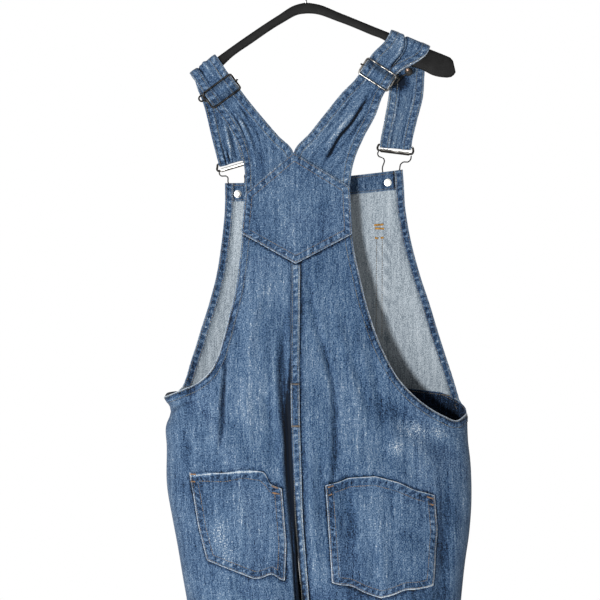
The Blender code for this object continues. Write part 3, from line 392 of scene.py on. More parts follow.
# sags of a pocket's mouth and lifts of its foot (a minus sign): x, width to the left and to the right, depth
POCKET_DENTS = {
    LEFT: ((-48, 5, 16, 9), (-108, 18, 12, 1.5), (-46, 12, 8, -7.5)),
    RIGHT: ((150, 12, 14, 2.5), (44, 12, 12, 1.5), (63, 13, 13, -3.5), (136, 13, 13, -3)),
}
DENT_REACH = 0.85              # part of the way from the middle to the edge at which a dent is at its full depth
# rubbed patches on the seat: x, z, half width, half height, strength
SCUFFS = ((184, -668, 14, 10, 1.3), (150, -664, 18, 11, 2.5), (125, -691, 10, 12, 1.6), (130, -655, 11, 8, 1.4),
          (165, -680, 30, 10, 0.7), (157, -723, 10, 8, 0.35), (201, -714, 9, 9, 0.35), (-116, -813, 16, 22, 1.0),
          (-102, -838, 12, 10, 0.8), (-84, -778, 9, 14, 0.4), (98, -861, 6, 12, 0.5), (-60, -620, 20, 40, 0.2))
# painted shade down in the cleft: height, how far left of the seam it reaches
CLEFT_SHADE = ((-500, -5), (-560, 0), (-600, 4), (-640, 7.5), (-730, 8), (-775, 3), (-800, 0.5), (-930, 0.5),
               (-980, -3))
# a back panel's columns are counted from the centre seam: the yoke's corner, the side's top, and steps in each
CORNER, SIDE, BACK_STEPS = 3, 13, 8
LAP_STEPS = (0, 0.7, 1.3, 2, 2.8, 4, 6, 8, 9.2, 10, 10.8, 12)      # its rows over the turned edge


def in_cleft(rows, z, beside):
    """1 where the cloth lies in the cleft, up to the distance that rows give at heights z, falling to 0 past it."""
    return np.clip((through(rows, z) - beside) / 2.5 + 0.5, 0, 1)


def dent_drop(dents, outline, x, z):
    """How far the dents press a patch down (plus, in its upper half) or lift it (minus, in its lower half): each is a
    bell across x, and grows with the square of the height from the outline's middle towards its edge."""
    heights = np.array(outline)[:, 1]
    middle, drop = heights.mean(), 0 * x
    for dent_x, left, right, depth in dents:
        reach = DENT_REACH * abs((heights.max() if depth > 0 else heights.min()) - middle)
        across = bell(x - dent_x, np.where(x < dent_x, left, right))
        drop = drop + depth * across * fade_in((z - middle) * np.sign(depth), reach) ** 2
    return drop


def back_edge_points(half):
    """Top edge of a back panel as (x, z) by column: the seam under the yoke, the armhole, and the side."""
    start, corner = through(SEAM_X, SEAM_TOP_Z), np.array(ARMHOLE[half][0], dtype=float)
    under = np.array([(start, SEAM_TOP_Z), (start + half * LAP, SEAM_TOP_Z + 4)])
    halfway = (under[1] + corner) / 2
    known = np.vstack([under, halfway, corner])
    column, armhole_steps = np.arange(0, CORNER, 1 / BACK_STEPS), (SIDE - CORNER) * BACK_STEPS + 1
    first = np.stack([np.interp(column, range(CORNER + 1), known[:, axis]) for axis in (0, 1)], axis=1)
    armhole = even_path(ARMHOLE[half], armhole_steps)
    side = np.repeat(armhole[-1:], 3, axis=0)
    column = np.concatenate([column, CORNER + np.arange(armhole_steps) / BACK_STEPS, SIDE + np.array([1, 2, 3]) / 3])
    return column, np.vstack([first, armhole, side])


def back_panel(half):
    """Grid of a back panel, its rows from the top edge down, with each point's share and distance from the edge."""
    column, edge = back_edge_points(half)
    tangent = np.gradient(edge, axis=0)
    tangent[-4:] = edge[-4] - edge[-5]
    tangent /= np.linalg.norm(tangent, axis=1, keepdims=True)
    into = half * np.stack([tangent[:, 1], -tangent[:, 0]], axis=1)
    # down under the yoke, slanting inwards at its corner, then square to the armhole
    corner_part = np.clip(1 - np.abs(column - CORNER), 0, 1)[:, None]
    into = np.where((column < CORNER)[:, None], (0, -1), into) * (1 - corner_part) + corner_part * (-half, -1.17)
    inside = edge + into * LAP
    inside[column >= SIDE] = (through(OUTER_X[half], edge[-1, 1] - LAP), edge[-1, 1] - LAP)
    at_side = np.clip(column - SIDE, 0, 1)
    edge_share, inside_share = (share_at(half, BACK, line[:, 0], line[:, 1]) for line in (edge, inside))
    ends = 1 - EDGE / way_length(half, BACK, edge[-1, 1]) * (1 - at_side)
    edge_share, inside_share = (np.where(column >= SIDE, ends, s) for s in (edge_share, inside_share))
    lap = np.array(LAP_STEPS)[:, None] / LAP
    share = edge_share + lap * (inside_share - edge_share)
    z = edge[:, 1] + lap * (inside[:, 1] - edge[:, 1])
    fan = np.linspace(0, 1, 92)[1:, None] ** 1.1

    def below(z):
        """Shares at heights z: narrow first and last columns, the rest even."""
        length = way_length(half, BACK, z)
        first, last = LAP / length, 1 - EDGE / length
        between = first + (column - 1) / (SIDE - 1) * (last - first)
        past = last + (column - SIDE) * (1 - last)
        return np.select([column <= 1, column <= SIDE], [column * first, between], past)

    base = below(np.array([[FAN_Z]]))
    share = np.vstack([share, inside_share + fan * (base - inside_share)])
    z = np.vstack([z, inside[:, 1] + fan * (FAN_Z - inside[:, 1])])
    leg_z = np.concatenate([np.arange(FAN_Z - 4, LEG_Z, -4), np.linspace(LEG_Z, HEM_Z[half] + LEG_HEM, 92),
                            HEM_Z[half] + HEM_STEPS])[:, None]
    share = np.vstack([share, below(leg_z)])
    z = np.vstack([z, np.repeat(leg_z, len(column), axis=1)])
    grid = on_body(half, BACK, share, z)
    from_edge = np.full_like(z, LAP + FIELD)
    from_edge[:len(LAP_STEPS)] = np.array(LAP_STEPS)[:, None]
    from_edge[:, column < CORNER] = FIELD
    from_edge[len(LAP_STEPS)] = LAP + 3
    return column, share, grid, from_edge, run_along(edge)


def quads(rows, columns):
    """Corner numbers of a grid's faces."""
    corner = np.arange(rows * columns).reshape(rows, columns)
    return np.stack([corner[:-1, :-1], corner[:-1, 1:], corner[1:, 1:], corner[1:, :-1]], axis=-1).reshape(-1, 4)


def ring_corners(rings, around):
    """Corner numbers of rings of points, the same one step further round, and the faces between the rings."""
    corner = np.arange(rings * around).reshape(rings, around)
    after = np.roll(corner, -1, axis=1)
    faces = np.stack([corner[:-1], corner[1:], after[1:], after[:-1]], axis=-1)
    return corner, after, faces.reshape(-1, 4).tolist()


def new_mesh(name, points, faces, *finishes):
    """Piece at the origin with its place in its mesh, smooth, with its finishes in its slots."""
    mesh = bpy.data.meshes.new(name)
    mesh.from_pydata(points.reshape(-1, 3) * MM, [], faces)
    mesh.shade_smooth()
    piece = bpy.data.objects.new(name, mesh)
    bpy.context.scene.collection.objects.link(piece)
    for finish in finishes:
        mesh.materials.append(finish)
    return piece


def lay_out(piece, uv, **places):
    """Give each point its place on the flat cloth (u across, v along the warp, in metres) and its attributes."""
    mesh, flat = piece.data, np.stack(np.broadcast_arrays(*uv), axis=-1)
    corners = np.zeros(len(mesh.loops), dtype=np.int32)
    mesh.loops.foreach_get("vertex_index", corners)
    mesh.uv_layers.new(name="cloth").data.foreach_set("uv", (flat.reshape(-1, 2) * MM)[corners].ravel())
    for name, value in places.items():
        if isinstance(value, tuple):
            kind, key = "FLOAT_VECTOR", "vector"
            value = np.stack(np.broadcast_arrays(*value, uv[0])[:3], axis=-1) * (MM, MM, 1)
        else:
            kind, key, value = "FLOAT", "value", np.broadcast_to(value, flat.shape[:-1])
        mesh.attributes.new(name, kind, "POINT").data.foreach_set(key, value.astype(float).ravel())


def thicken(piece, thickness, grow=-1):
    """Give a sheet its thickness, with its wrong side in its last slot: grow is -1 behind it, 0 both ways."""
    shell = piece.modifiers.new("thickness", "SOLIDIFY")
    shell.thickness, shell.offset = thickness * MM, grow
    shell.material_offset = len(piece.data.materials) - 1


def cloth(name, grid, facing, uv, thickness=OVERLAY, grow=-1, wrong_side=False, **places):
    """Sheet of denim over a grid, whose right side faces one way; on a sewn-on piece both sides are the same."""
    faces = quads(*grid.shape[:2])
    if (square_to(grid)[0] @ np.array(facing)).mean() > 0:
        faces = faces[:, ::-1]
    piece = new_mesh(name, grid, faces.tolist(), *((DENIM, WRONG_SIDE) if wrong_side else (DENIM,)))
    lay_out(piece, uv, **places)
    thicken(piece, thickness, grow)
    return piece


def settle(piece, slot, *nodes):
    """The piece moves with the garment and stands for its solids, which it hides; slot is not used."""
    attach(piece, "root")
    if nodes:
        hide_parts(*nodes)
    return piece


def linear(code):
    """Linear colour of an sRGB hex code."""
    part = np.array([int(code[i:i + 2], 16) for i in (0, 2, 4)]) / 255
    return (*np.where(part <= 0.04045, part / 12.92, ((part + 0.055) / 1.055) ** 2.4), 1)


def plug(tree, node, **sockets):
    """Set a node's sockets, by name or by number (in_0): to a value, or to a link."""
    for key, value in sockets.items():
        socket = node.inputs[int(key[3:])] if key.startswith("in_") else node.inputs[key.replace("_", " ")]
        if isinstance(value, bpy.types.NodeSocket):
            tree.links.new(value, socket)
        else:
            socket.default_value = value
    return node


def add(tree, kind, settings=None, **sockets):
    """Add a node, with its settings by name and its sockets as plug takes them."""
    made = tree.nodes.new("ShaderNode" + kind)
    for key, value in (settings or {}).items():
        setattr(made, key, value)
    return plug(tree, made, **sockets)


def new_finish(name):
    """New material: its node tree and its Principled shader."""
    finish = bpy.data.materials.new(name)
    finish.use_nodes = True
    return finish, finish.node_tree, finish.node_tree.nodes["Principled BSDF"]


def set_ramp(ramp, stops):
    """Colour stops of a ramp, as (place, hex code)."""
    elements = ramp.color_ramp.elements
    while len(elements) < len(stops):
        elements.new(0.5)
    for element, (place, code) in zip(elements, stops):
        element.position, element.color = place, linear(code)


# unevenness of the yarns: changes per metre across and along the warp, detail, roughness, gain
YARN_PATTERNS = {
    "slub": (430, 60, 2, 0.6, 0.5), "streak": (150, 12, 2, 0.6, 0.5), "speckle": (620, 520, 1, 0.5, 1.05),
    "yarn": (260, 150, 2, 0.6, 0.45), "wash": (17, 9, 3, 0.5, 0.4),
}
MULTIPLY, MULTIPLY_ADD = {"operation": "MULTIPLY"}, {"operation": "MULTIPLY_ADD"}


def denim(name, stops, contrast, bump):
    """Indigo twill, ring-spun and stone-washed.  Its warp yarns are uneven, which shows as slubs, streaks 1 to 3 mm
    wide and 20 to 80 mm long; indigo rubs off wherever the cloth stands proud and stays in the hollows.  The
    attribute that carries this wear also holds painted shade and painted highlights."""
    finish, tree, shader = new_finish(name)
    place = add(tree, "UVMap", {"uv_map": "cloth"}).outputs["UV"]
    pattern = {}
    for key, (across, along, detail, rough, _) in YARN_PATTERNS.items():
        scaled = add(tree, "VectorMath", MULTIPLY, in_0=place, in_1=(across, along, 1)).outputs[0]
        pattern[key] = add(tree, "TexNoise", {"noise_dimensions": "2D"}, Vector=scaled, Scale=1.0, Detail=detail,
                           Roughness=rough).outputs["Fac"]
    seam = add(tree, "Attribute", {"attribute_name": "seam_run"}).outputs["Vector"]
    rope_mask = add(tree, "SeparateXYZ", in_0=seam).outputs["Z"]
    slanted = add(tree, "VectorMath", MULTIPLY, in_0=seam, in_1=(1, 0.4, 0)).outputs[0]
    rope = add(tree, "TexWave", {"bands_direction": "DIAGONAL"}, Vector=slanted, Scale=63.0, Distortion=6.0,
               Detail=2.0, Detail_Scale=1.5).outputs["Fac"]
    ropes = add(tree, "MapRange", Value=rope, From_Min=0.4, From_Max=0.95, To_Min=-0.25, To_Max=0.75).outputs[0]
    roped = add(tree, "Math", MULTIPLY, in_0=ropes, in_1=rope_mask).outputs[0]
    wear = add(tree, "Attribute", {"attribute_name": "wear"}).outputs["Fac"]
    rub = add(tree, "Attribute", {"attribute_name": "scuff"}).outputs["Fac"]
    flecks = add(tree, "MapRange", Value=pattern["speckle"], From_Min=0.38, From_Max=0.66, To_Min=0.55,
                 To_Max=1.0).outputs[0]
    rubbed = add(tree, "Math", MULTIPLY, in_0=flecks, in_1=rub).outputs[0]
    gains = [(pattern[key], row[-1] * contrast) for key, row in YARN_PATTERNS.items()]
    # each pattern is 0.5 on average, so half its gain comes off the start; a double-stitched band is darker than
    # the field, with pale and dark patches where it puckers
    shade = 0.5 - sum(gain / 2 for _, gain in gains)
    for value, gain in [(wear, 0.42), *gains, (roped, 0.4), (rope_mask, -0.09), (rubbed, 0.24)]:
        shade = add(tree, "Math", MULTIPLY_ADD, in_0=value, in_1=gain, in_2=shade).outputs[0]
    ramp = add(tree, "ValToRGB", Fac=shade)
    set_ramp(ramp, stops)
    # the twill line is 0.5 mm apart in the real cloth and is drawn at 1.1 mm, so that it shows
    diagonal = add(tree, "VectorMath", MULTIPLY, in_0=place, in_1=(1, 0.6, 1)).outputs[0]
    relief = add(tree, "TexWave", {"bands_direction": "DIAGONAL"}, Vector=diagonal, Scale=290.0, Distortion=1.5,
                 Detail=1.0).outputs["Fac"]
    for key in ("slub", "yarn"):
        relief = add(tree, "Math", MULTIPLY_ADD, in_0=pattern[key], in_1=0.8, in_2=relief).outputs[0]
    bumped = add(tree, "Bump", Strength=bump, Distance=0.0004, Height=relief).outputs["Normal"]
    plug(tree, shader, Base_Color=ramp.outputs["Color"], Normal=bumped, Roughness=0.92, Specular_IOR_Level=0.06,
         Sheen_Weight=0.008, Sheen_Roughness=0.5)
    return finish


# right side: indigo warp on top, washed to a dusty mid blue that pales to grey where it is rubbed
DENIM = denim("stonewashed_denim", ((0.0, "01050D"), (0.3, "111F31"), (0.5, "202E3E"), (0.7, "2F3C4B"),
                                    (0.88, "3F4953"), (1.0, "5D6267")), 1.0, 0.5)
# wrong side: white weft on top, so a pale grey blue with little contrast
WRONG_SIDE = denim("denim_wrong_side", ((0.0, "262C33"), (0.36, "41484E"), (0.5, "53595E"), (0.64, "5E6469"),
                                        (1.0, "727475")), 0.6, 0.7)
BACK_GRIDS = {}
FREE_BELOW = {LEFT: 460, RIGHT: 390}     # how far down the armhole's edge starts to hang free
for half, side in HALVES:
    column, share, grid, from_edge, along_edge = back_panel(half)
    x, z = grid[..., 0], grid[..., 2]
    folds, hem, beside_seam = fold_height(BACK, x, z), z - HEM_Z[half], share * way_length(half, BACK, z)
    beside_strip = beside_seam - (LAP if half == RIGHT else 0)
    relief = turned_edge(from_edge, LAP, STITCH_ROWS) + turned_edge(hem, LEG_HEM, HEM_ROW)
    relief += pucker(along_edge + 0 * z, from_edge, LAP) + pucker(x, hem, LEG_HEM)
    wear = edge_wear(from_edge, LAP) + edge_wear(hem, LEG_HEM, HEM_ROW)
    # painted shade on the panel along the edges of the yoke, the pocket and the seam's strip
    for outline, dents in ((YOKE, ()), (POCKETS[half], POCKET_DENTS[half])):
        drop = dent_drop(dents, outline, x, z)
        wear -= 1.3 * bell(np.maximum(past_edges(outline, x, z + drop).max(axis=0), 0), 2.6)
    wear -= (0.5 if half == RIGHT else 0.35) * bell(beside_strip - 1.5, 3)
    wear += hollow_wear(folds) * (1 - 0.6 * fade_in(CROTCH_Z - z, 60))
    if half == RIGHT:
        # painted shade: a band under the pocket, and a shadow line beside the seam strip's raised fold
        wear -= 0.35 * bell(z + 893, 12) + 1.3 * bell(beside_strip, 1.4)
    else:
        wear += 0.07
    # further down the edge hangs free: its fold is rubbed pale and carries a painted highlight,
    # and painted shade lies in the furrow beside it
    free = fade_in(-z - FREE_BELOW[half], 60) + 0.5 * fade_in(-z - 560, 30)
    wear += free * (1.3 * bell(from_edge, 1.3) - 0.5 * bell(from_edge - 3.2, 1.1))
    if half == LEFT:
        # painted shade down in the cleft
        wear -= 1.3 * in_cleft(CLEFT_SHADE, z, beside_seam)
    wear -= 0.25 * fade_in(LAP + 1 - from_edge, 2) * fade_in(-z - 420, 60)
    rope = 0.6 * between_rows(from_edge) + 0.7 * fade_in(LEG_HEM + 1 - hem, 2)
    grid = raised(raised(grid, TO_BACK, folds), TO_BACK, relief)
    BACK_GRIDS[half] = (column, grid)
    panel = cloth("back_panel_" + side, grid, TO_BACK, (beside_seam * half, z), CLOTH, wrong_side=True, wear=wear,
                  scuff=blots(x, z, SCUFFS), seam_run=(along_edge + x, from_edge, rope))
    settle(panel, "denim", "back_" + side)

# ======== Turned armhole edges ========
# The panel's raw edge is folded in along the armhole and held by two rows of lockstitch.  The thread is a
# heavy cotton-wrapped polyester in tan, and it stands proud of the washed cloth.
THREAD_PITCH, STITCH = 3.2, (2.7, 1.0, 0.75)       # from stitch to stitch; length, width and height of one


def matt(name, stops, mottle, grain, bump, roughness, specular):
    """Matt finish: a noise mottles its colour and a finer one gives its relief; mottle and grain set them."""
    finish, tree, shader = new_finish(name)
    place = add(tree, "TexCoord").outputs["Object"]
    ramp = add(tree, "ValToRGB", Fac=add(tree, "TexNoise", Vector=place, **mottle).outputs["Fac"])
    set_ramp(ramp, stops)
    fine = add(tree, "TexNoise", Vector=place, **grain).outputs["Fac"]
    relief = add(tree, "Bump", Strength=bump, Distance=0.0002, Height=fine).outputs["Normal"]
    plug(tree, shader, Base_Color=ramp.outputs["Color"], Normal=relief, Roughness=roughness,
         Specular_IOR_Level=specular)
    return finish


def thread(name, code, dark_code):
    """Core-spun sewing thread, fuzzy and paler where the wash has rubbed it: mottled along each stitch."""
    return matt(name, ((0.36, dark_code), (0.62, code)), dict(Scale=160.0, Detail=2.0), dict(Scale=1600.0), 0.4,
                0.75, 0.25)


TAN_THREAD = thread("tan_core_spun_thread", "463B2A", "23272B")
WORN_THREAD = thread("worn_core_spun_thread", "454338", "23282F")        # the same, where the wash has greyed it
GOLD_THREAD = thread("golden_core_spun_thread", "7A5518", "57401A")
ORANGE_THREAD = thread("orange_core_spun_thread", "5C4122", "2C2722")


def sew(name, rows, finish, pitch=THREAD_PITCH, size=STITCH):
    """One piece with all stitches along rows of (points, normals): a stitch is a four-sided spindle, set at even
    steps along its row, turned to the row's direction and half sunk."""
    spindle = np.array([(-0.5, 0, 0)] + [(x, y, z) for x in (-0.3, 0.3) for y, z in
                       ((-0.5, 0), (0, 0.5), (0.5, 0), (0, -0.5))] + [(0.5, 0, 0)]) * size
    faces = [(0, 1 + (i + 1) % 4, 1 + i) for i in range(4)] + [(9, 5 + i, 5 + (i + 1) % 4) for i in range(4)]
    faces += [(1 + i, 1 + (i + 1) % 4, 5 + (i + 1) % 4) for i in range(4)]
    faces += [(1 + i, 5 + (i + 1) % 4, 5 + i) for i in range(4)]
    placed = []
    for points, normal in rows:
        run = run_along(points)
        count = max(int(run[-1] / pitch), 1)
        at = (np.arange(count) + 0.5) * run[-1] / count
        middle, before, after, up = [
            np.stack([np.interp(place, run, axis) for axis in line.T], axis=1)
            for place, line in ((at, points), (at - 0.6, points), (at + 0.6, points), (at, normal))]
        ahead = after - before
        ahead /= np.linalg.norm(ahead, axis=1, keepdims=True)
        across = np.cross(up, ahead)
        frames = np.stack([ahead, across, up], axis=1)
        placed.append(middle[:, None] + np.einsum("vk,nkd->nvd", spindle, frames))
    placed = np.concatenate(placed)
    every = np.arange(len(placed))[:, None, None] * len(spindle) + np.array(faces)
    return settle(new_mesh(name, placed, every.reshape(-1, 3).tolist(), finish), "denim")


def picked(grid, facing, places):
    """Rows to sew: a grid's points and unit normals at each of some places in it."""
    normal = normals(grid, facing)
    return [(grid[place], normal[place]) for place in places]


def tacks(ends, face, lift, steps=12):
    """Rows on the body, each from one (x, z) place to another; a minus lift sews the wrong side."""
    lines = [np.linspace(end[:2], end[2:], steps) for end in ends]
    rows = [over_body(face, line[:, 0], line[:, 1], lift) for line in lines]
    return [(points, normal * np.sign(lift)) for points, normal in rows]


TACK = dict(pitch=0.8, size=(0.85, 2.1, 1.0))     # a bartack's stitches lie side by side across it
HEM_PLACE = 2 - len(HEM_STEPS)     # a panel's row of stitches along its leg hem
for half, side in HALVES:
    column, grid = BACK_GRIDS[half]
    armhole = column >= CORNER
    places = [(LAP_STEPS.index(d), armhole) for d in STITCH_ROWS] + [HEM_PLACE]
    sew("armhole_stitches_" + side, picked(grid, TO_BACK, places), WORN_THREAD)
    turned = raised(grid, TO_BACK, -(CLOTH + GAP))[:len(LAP_STEPS), armhole]
    allowance = cloth("armhole_turning_" + side, turned, TO_BACK, (turned[..., 0], turned[..., 2]), wear=-0.2)
    settle(allowance, "denim", "armhole_hem_" + side)

# ======== Centre-back seam ========
# The two panels meet in a felled seam: the right panel's allowance is folded over the left one's and stitched
# flat, so that a doubled strip 12 mm wide runs down from the yoke, its outer fold rubbed pale.
strip_z = np.linspace(-438.5, -985.5, 190)[:, None]
strip_d = np.array([0, 0.7, 1.3, 2, 3, 4.5, 6, 7.5, 9, 10, 10.7, 11.3, 12])
grid = on_body(RIGHT, BACK, strip_d / way_length(RIGHT, BACK, strip_z), strip_z)
free = LAP - strip_d + 0 * strip_z
relief = (turned_edge(free, 14, STITCH_ROWS, 0.5, 0.5) - 0.3 * bell(strip_d, 0.9)
          + 0.6 * pucker(-strip_z, np.minimum(free, LAP), 14))
STRIP = raised(grid, TO_BACK, fold_height(BACK, grid[..., 0], grid[..., 2]) + GAP + OVERLAY + relief)
wear = 1.1 * bell(free, 1.2) + 0.1 * bell(free - 6, 2) - 0.5 * bell(strip_d, 1.4)
# how far from the seam the strip lies in the cleft and takes painted shade, by height
STRIP_SHADE = ((-640, -3), (-700, 0), (-740, 2), (-775, 4), (-800, 5), (-878, 5.5), (-892, 7), (-940, 5), (-986, 4))
wear -= 1.5 * in_cleft(STRIP_SHADE, strip_z, strip_d)
strip = cloth("felled_centre_seam", STRIP, TO_BACK, (strip_d + 300, strip_z), wear=wear,
              seam_run=(-strip_z, strip_d, between_rows(strip_d)))
settle(strip, "denim", "centre_back_strip")
BAND_COLUMNS = [np.s_[:, i] for i in (3, 9)]     # the double row on a narrow band
sew("felled_seam_stitches", picked(STRIP, TO_BACK, BAND_COLUMNS), WORN_THREAD)

# ======== Back loop ========
# A small loop of the same denim over the seam at the waist, folded in three and tacked down at both ends with
# orange thread; it stands off the strip between the tacks.
LOOP_TOP_Z, LOOP_BOTTOM_Z, LOOP_LIFT = -601, -662, 3.0
t = np.linspace(0, 1, 36)[:, None]
z = LOOP_TOP_Z + t * (LOOP_BOTTOM_Z - LOOP_TOP_Z)
under = np.stack([[np.interp(-z[:, 0], -STRIP[:, c, 2], STRIP[:, c, axis]) for axis in range(3)]
                  for c in range(len(strip_d))], axis=1).transpose(2, 1, 0)
lift = GAP + OVERLAY + LOOP_LIFT * np.sin(np.pi * t) ** 0.8
edge = np.minimum(strip_d, LAP - strip_d)
lift = lift + 0.35 - 0.5 * bell(edge, 0.8) - 0.3 * bell(edge - 2, 0.8)
grid = under - np.stack([0 * lift, lift, 0 * lift], axis=-1)
loop = cloth("back_loop_band", grid, TO_BACK, (strip_d + 400, z),
             wear=1.7 * bell(edge, 1.0) - 0.3 * bell(edge - 2.2, 1.2) - 0.45, seam_run=(z, strip_d, 0.3))
settle(loop, "denim", "back_loop")
sew("loop_stitches", picked(grid, TO_BACK, [np.s_[2:-2, i] for i in (3, 9)]), WORN_THREAD)
sew("loop_tacks", picked(grid, TO_BACK, (1, -2)), TAN_THREAD, pitch=0.9, size=(0.8, 2.8, 0.9))

# ======== Yoke ========
# A six-cornered shield of denim over the strap ends and the tops of the back panels, its edges turned under and
# stitched down in two rows.  It is the thickest place of the garment, so its edges are rubbed the most.
INSETS = (0, 0.6, 1.2, 2, 2.8, 4, 5.5, 7, 8.5, 10, 11, 12, 13.5, 16)


def patch_places(outline, insets=INSETS, inner=9):
    """(x, z) of rings inside a convex outline: each ring's corners lie on the bisectors, an inset away from the edge,
    and past the last inset the rings draw together.  Also the distance along the edge, the number of the edge, and
    the middle."""
    corners = np.array(outline, dtype=float)
    step = np.roll(corners, -1, axis=0) - corners
    length = np.linalg.norm(step, axis=1, keepdims=True)
    into = np.stack([step[:, 1], -step[:, 0]], axis=1) / length
    before = np.roll(into, 1, axis=0)
    bisector = (into + before) / (1 + (into * before).sum(axis=1, keepdims=True))
    counts = np.ceil(length[:, 0] / 3.6).astype(int)
    edge = np.repeat(np.arange(len(corners)), counts)
    part = np.concatenate([np.arange(n) / n for n in counts])[:, None]
    rings = []
    for inset in insets:
        moved = corners + bisector * inset
        rings.append(moved[edge] * (1 - part) + np.roll(moved, -1, axis=0)[edge] * part)
    middle = rings[-1].mean(axis=0)
    rings += [middle + (rings[-1] - middle) * (1 - k / (inner + 1)) for k in range(1, inner + 1)]
    run = run_along(np.vstack([rings[0], rings[0][:1]]))[:-1]
    return np.array(rings), run, edge, middle


def patch(name, outline, face, lift, relief_at, thickness, wear_at, strength, dents=()):
    """Sewn-on patch: rings closed at the middle by a fan, lying on the folded body and pressed in at its dents.
    Also the rings' points, their normals, and the number of the outline's edge that each lies along."""
    rings, run, edge, middle = patch_places(outline)
    xz = np.vstack([rings.reshape(-1, 2), middle])
    x, z = xz[:, 0], xz[:, 1]
    inside = -past_edges(outline, x, z)
    z = z - dent_drop(dents, outline, x, z)
    run = np.concatenate([np.tile(run, len(rings)), [0]])
    points, normal = over_body(face, x, z, lift + relief_at(inside, run))
    around = rings.shape[1]
    corner, after, faces = ring_corners(len(rings), around)
    faces += [(a, len(x) - 1, b) for a, b in zip(corner[-1].tolist(), after[-1].tolist())]
    if face == FRONT:
        faces = [f[::-1] for f in faces]
    piece = new_mesh(name, points, faces, DENIM)
    nearest = inside.min(axis=0)
    lay_out(piece, (x + 500 * (face == FRONT), z), wear=wear_at(inside) + hollow_wear(fold_height(face, x, z)),
            scuff=blots(x, z, SCUFFS), seam_run=(run, nearest, strength * between_rows(nearest)))
    thicken(piece, thickness)
    return piece, points[:-1].reshape(rings.shape[:2] + (3,)), normal[:-1].reshape(rings.shape[:2] + (3,)), edge


def double_row(grid, normal):
    """The double row of stitches round a patch, each ring closed by its first point."""
    return [tuple(np.vstack([ring[INSETS.index(d)], ring[INSETS.index(d)][:1]]) for ring in (grid, normal))
            for d in STITCH_ROWS]


def yoke_relief(inside, run):
    """Turned edges with their puckers."""
    d = inside.min(axis=0)
    return turned_edge(d, LAP, STITCH_ROWS, 0.6, 0.5) + 0.9 * pucker(run, d, LAP)


def yoke_wear(inside):
    """Both lower edges are the palest along the fold: rubbed pale, with a painted highlight."""
    return edge_wear(inside.min(axis=0), LAP) + 0.5 * bell(inside[2:4].min(axis=0), 0.9)


yoke, grid, normal, _ = patch("yoke_shield", YOKE, BACK, 2 * GAP + CLOTH, yoke_relief, CLOTH, yoke_wear, 1.0)
settle(yoke, "denim", "back_yoke")
sew("yoke_stitches", double_row(grid, normal), TAN_THREAD)

# ======== Back pockets ========
# Two patch pockets.  The mouth is hemmed with one row of stitches 12 mm down, the other edges are turned under
# and sewn on with two rows, and both corners of the mouth are held by orange bartacks.
POCKET_HEM = 13.5
POCKET_CUT = {LEFT: (0.135, 0.153, 0.0165), RIGHT: (0.156, 0.168, 0.0224)}     # width, length and area, in metres
MOUTH, MOUTH_ROW = [0, 1, 2, 3], 12       # the outline's edges along the mouth, and its row of stitches
# bartacks: start x, z, end x, z
POCKET_TACKS = {
    LEFT: ((-158, -727, -150, -727), (-157, -737, -151, -737), (-47, -742, -38, -745), (-46, -751, -36, -753)),
    RIGHT: ((30, -744, 38, -741.5), (30, -755, 36, -753), (166, -757.5, 175, -760.5), (168, -767, 175, -769)),
}
for half, side in HALVES:
    sides = [i for i in range(len(POCKETS[half])) if i not in MOUTH]

    def pocket_relief(inside, run):
        """Turned edges all round, and a little fullness in the middle of the pocket."""
        side_d, mouth_d, d = inside[sides].min(axis=0), inside[MOUTH].min(axis=0), inside.min(axis=0)
        full = 1.1 * fade_in(d - 14, 40) ** 2
        return (turned_edge(side_d, LAP, STITCH_ROWS, 0.5, 0.5)
                + turned_edge(mouth_d, POCKET_HEM, (MOUTH_ROW,), 0.5, 0.5) + 0.9 * pucker(run, d, LAP) + full)

    def pocket_wear(inside):
        """The mouth is rubbed nearly white along its fold, the sewn edges less; furrows take painted shade."""
        side_d, mouth_d = inside[sides].min(axis=0), inside[MOUTH].min(axis=0)
        hems = 0.3 * np.exp(-(((mouth_d - 7) / 4.5) ** 4)) + 0.2 * np.exp(-(((side_d - 6) / 4) ** 4))
        return edge_wear(mouth_d, POCKET_HEM, (MOUTH_ROW,), 1.9) + edge_wear(side_d, LAP, fold=1.7) - 0.02 - hems

    pocket, grid, normal, edge = patch("back_pocket_patch_" + side, POCKETS[half], BACK, 2 * GAP + OVERLAY,
                                       pocket_relief, OVERLAY, pocket_wear, 0.9, POCKET_DENTS[half])
    settle(pocket, "denim", "back_pocket_" + side)
    width, length, area = POCKET_CUT[half]
    sewn = ~np.isin(edge, MOUTH)
    places = [(INSETS.index(d), sewn) for d in STITCH_ROWS] + [(INSETS.index(MOUTH_ROW), ~sewn)]
    sew("back_pocket_stitches_" + side, [(grid[place], normal[place]) for place in places], TAN_THREAD)
    sew("back_pocket_tacks_" + side, tacks(POCKET_TACKS[half], BACK, 2.9), ORANGE_THREAD, **TACK)

# ======== Front legs ========
# Two front panels from under the waistband to the hem, seamed down the middle of the front; nothing of them
# shows from behind but their inner side.
WAISTBAND = 42


def waist_z(signed_share):
    """Height of the waist seam, straight from the left side seam (-1) to the right one (1)."""
    return WAIST_LEFT[1] + (signed_share + 1) / 2 * (WAIST_RIGHT[1] - WAIST_LEFT[1])


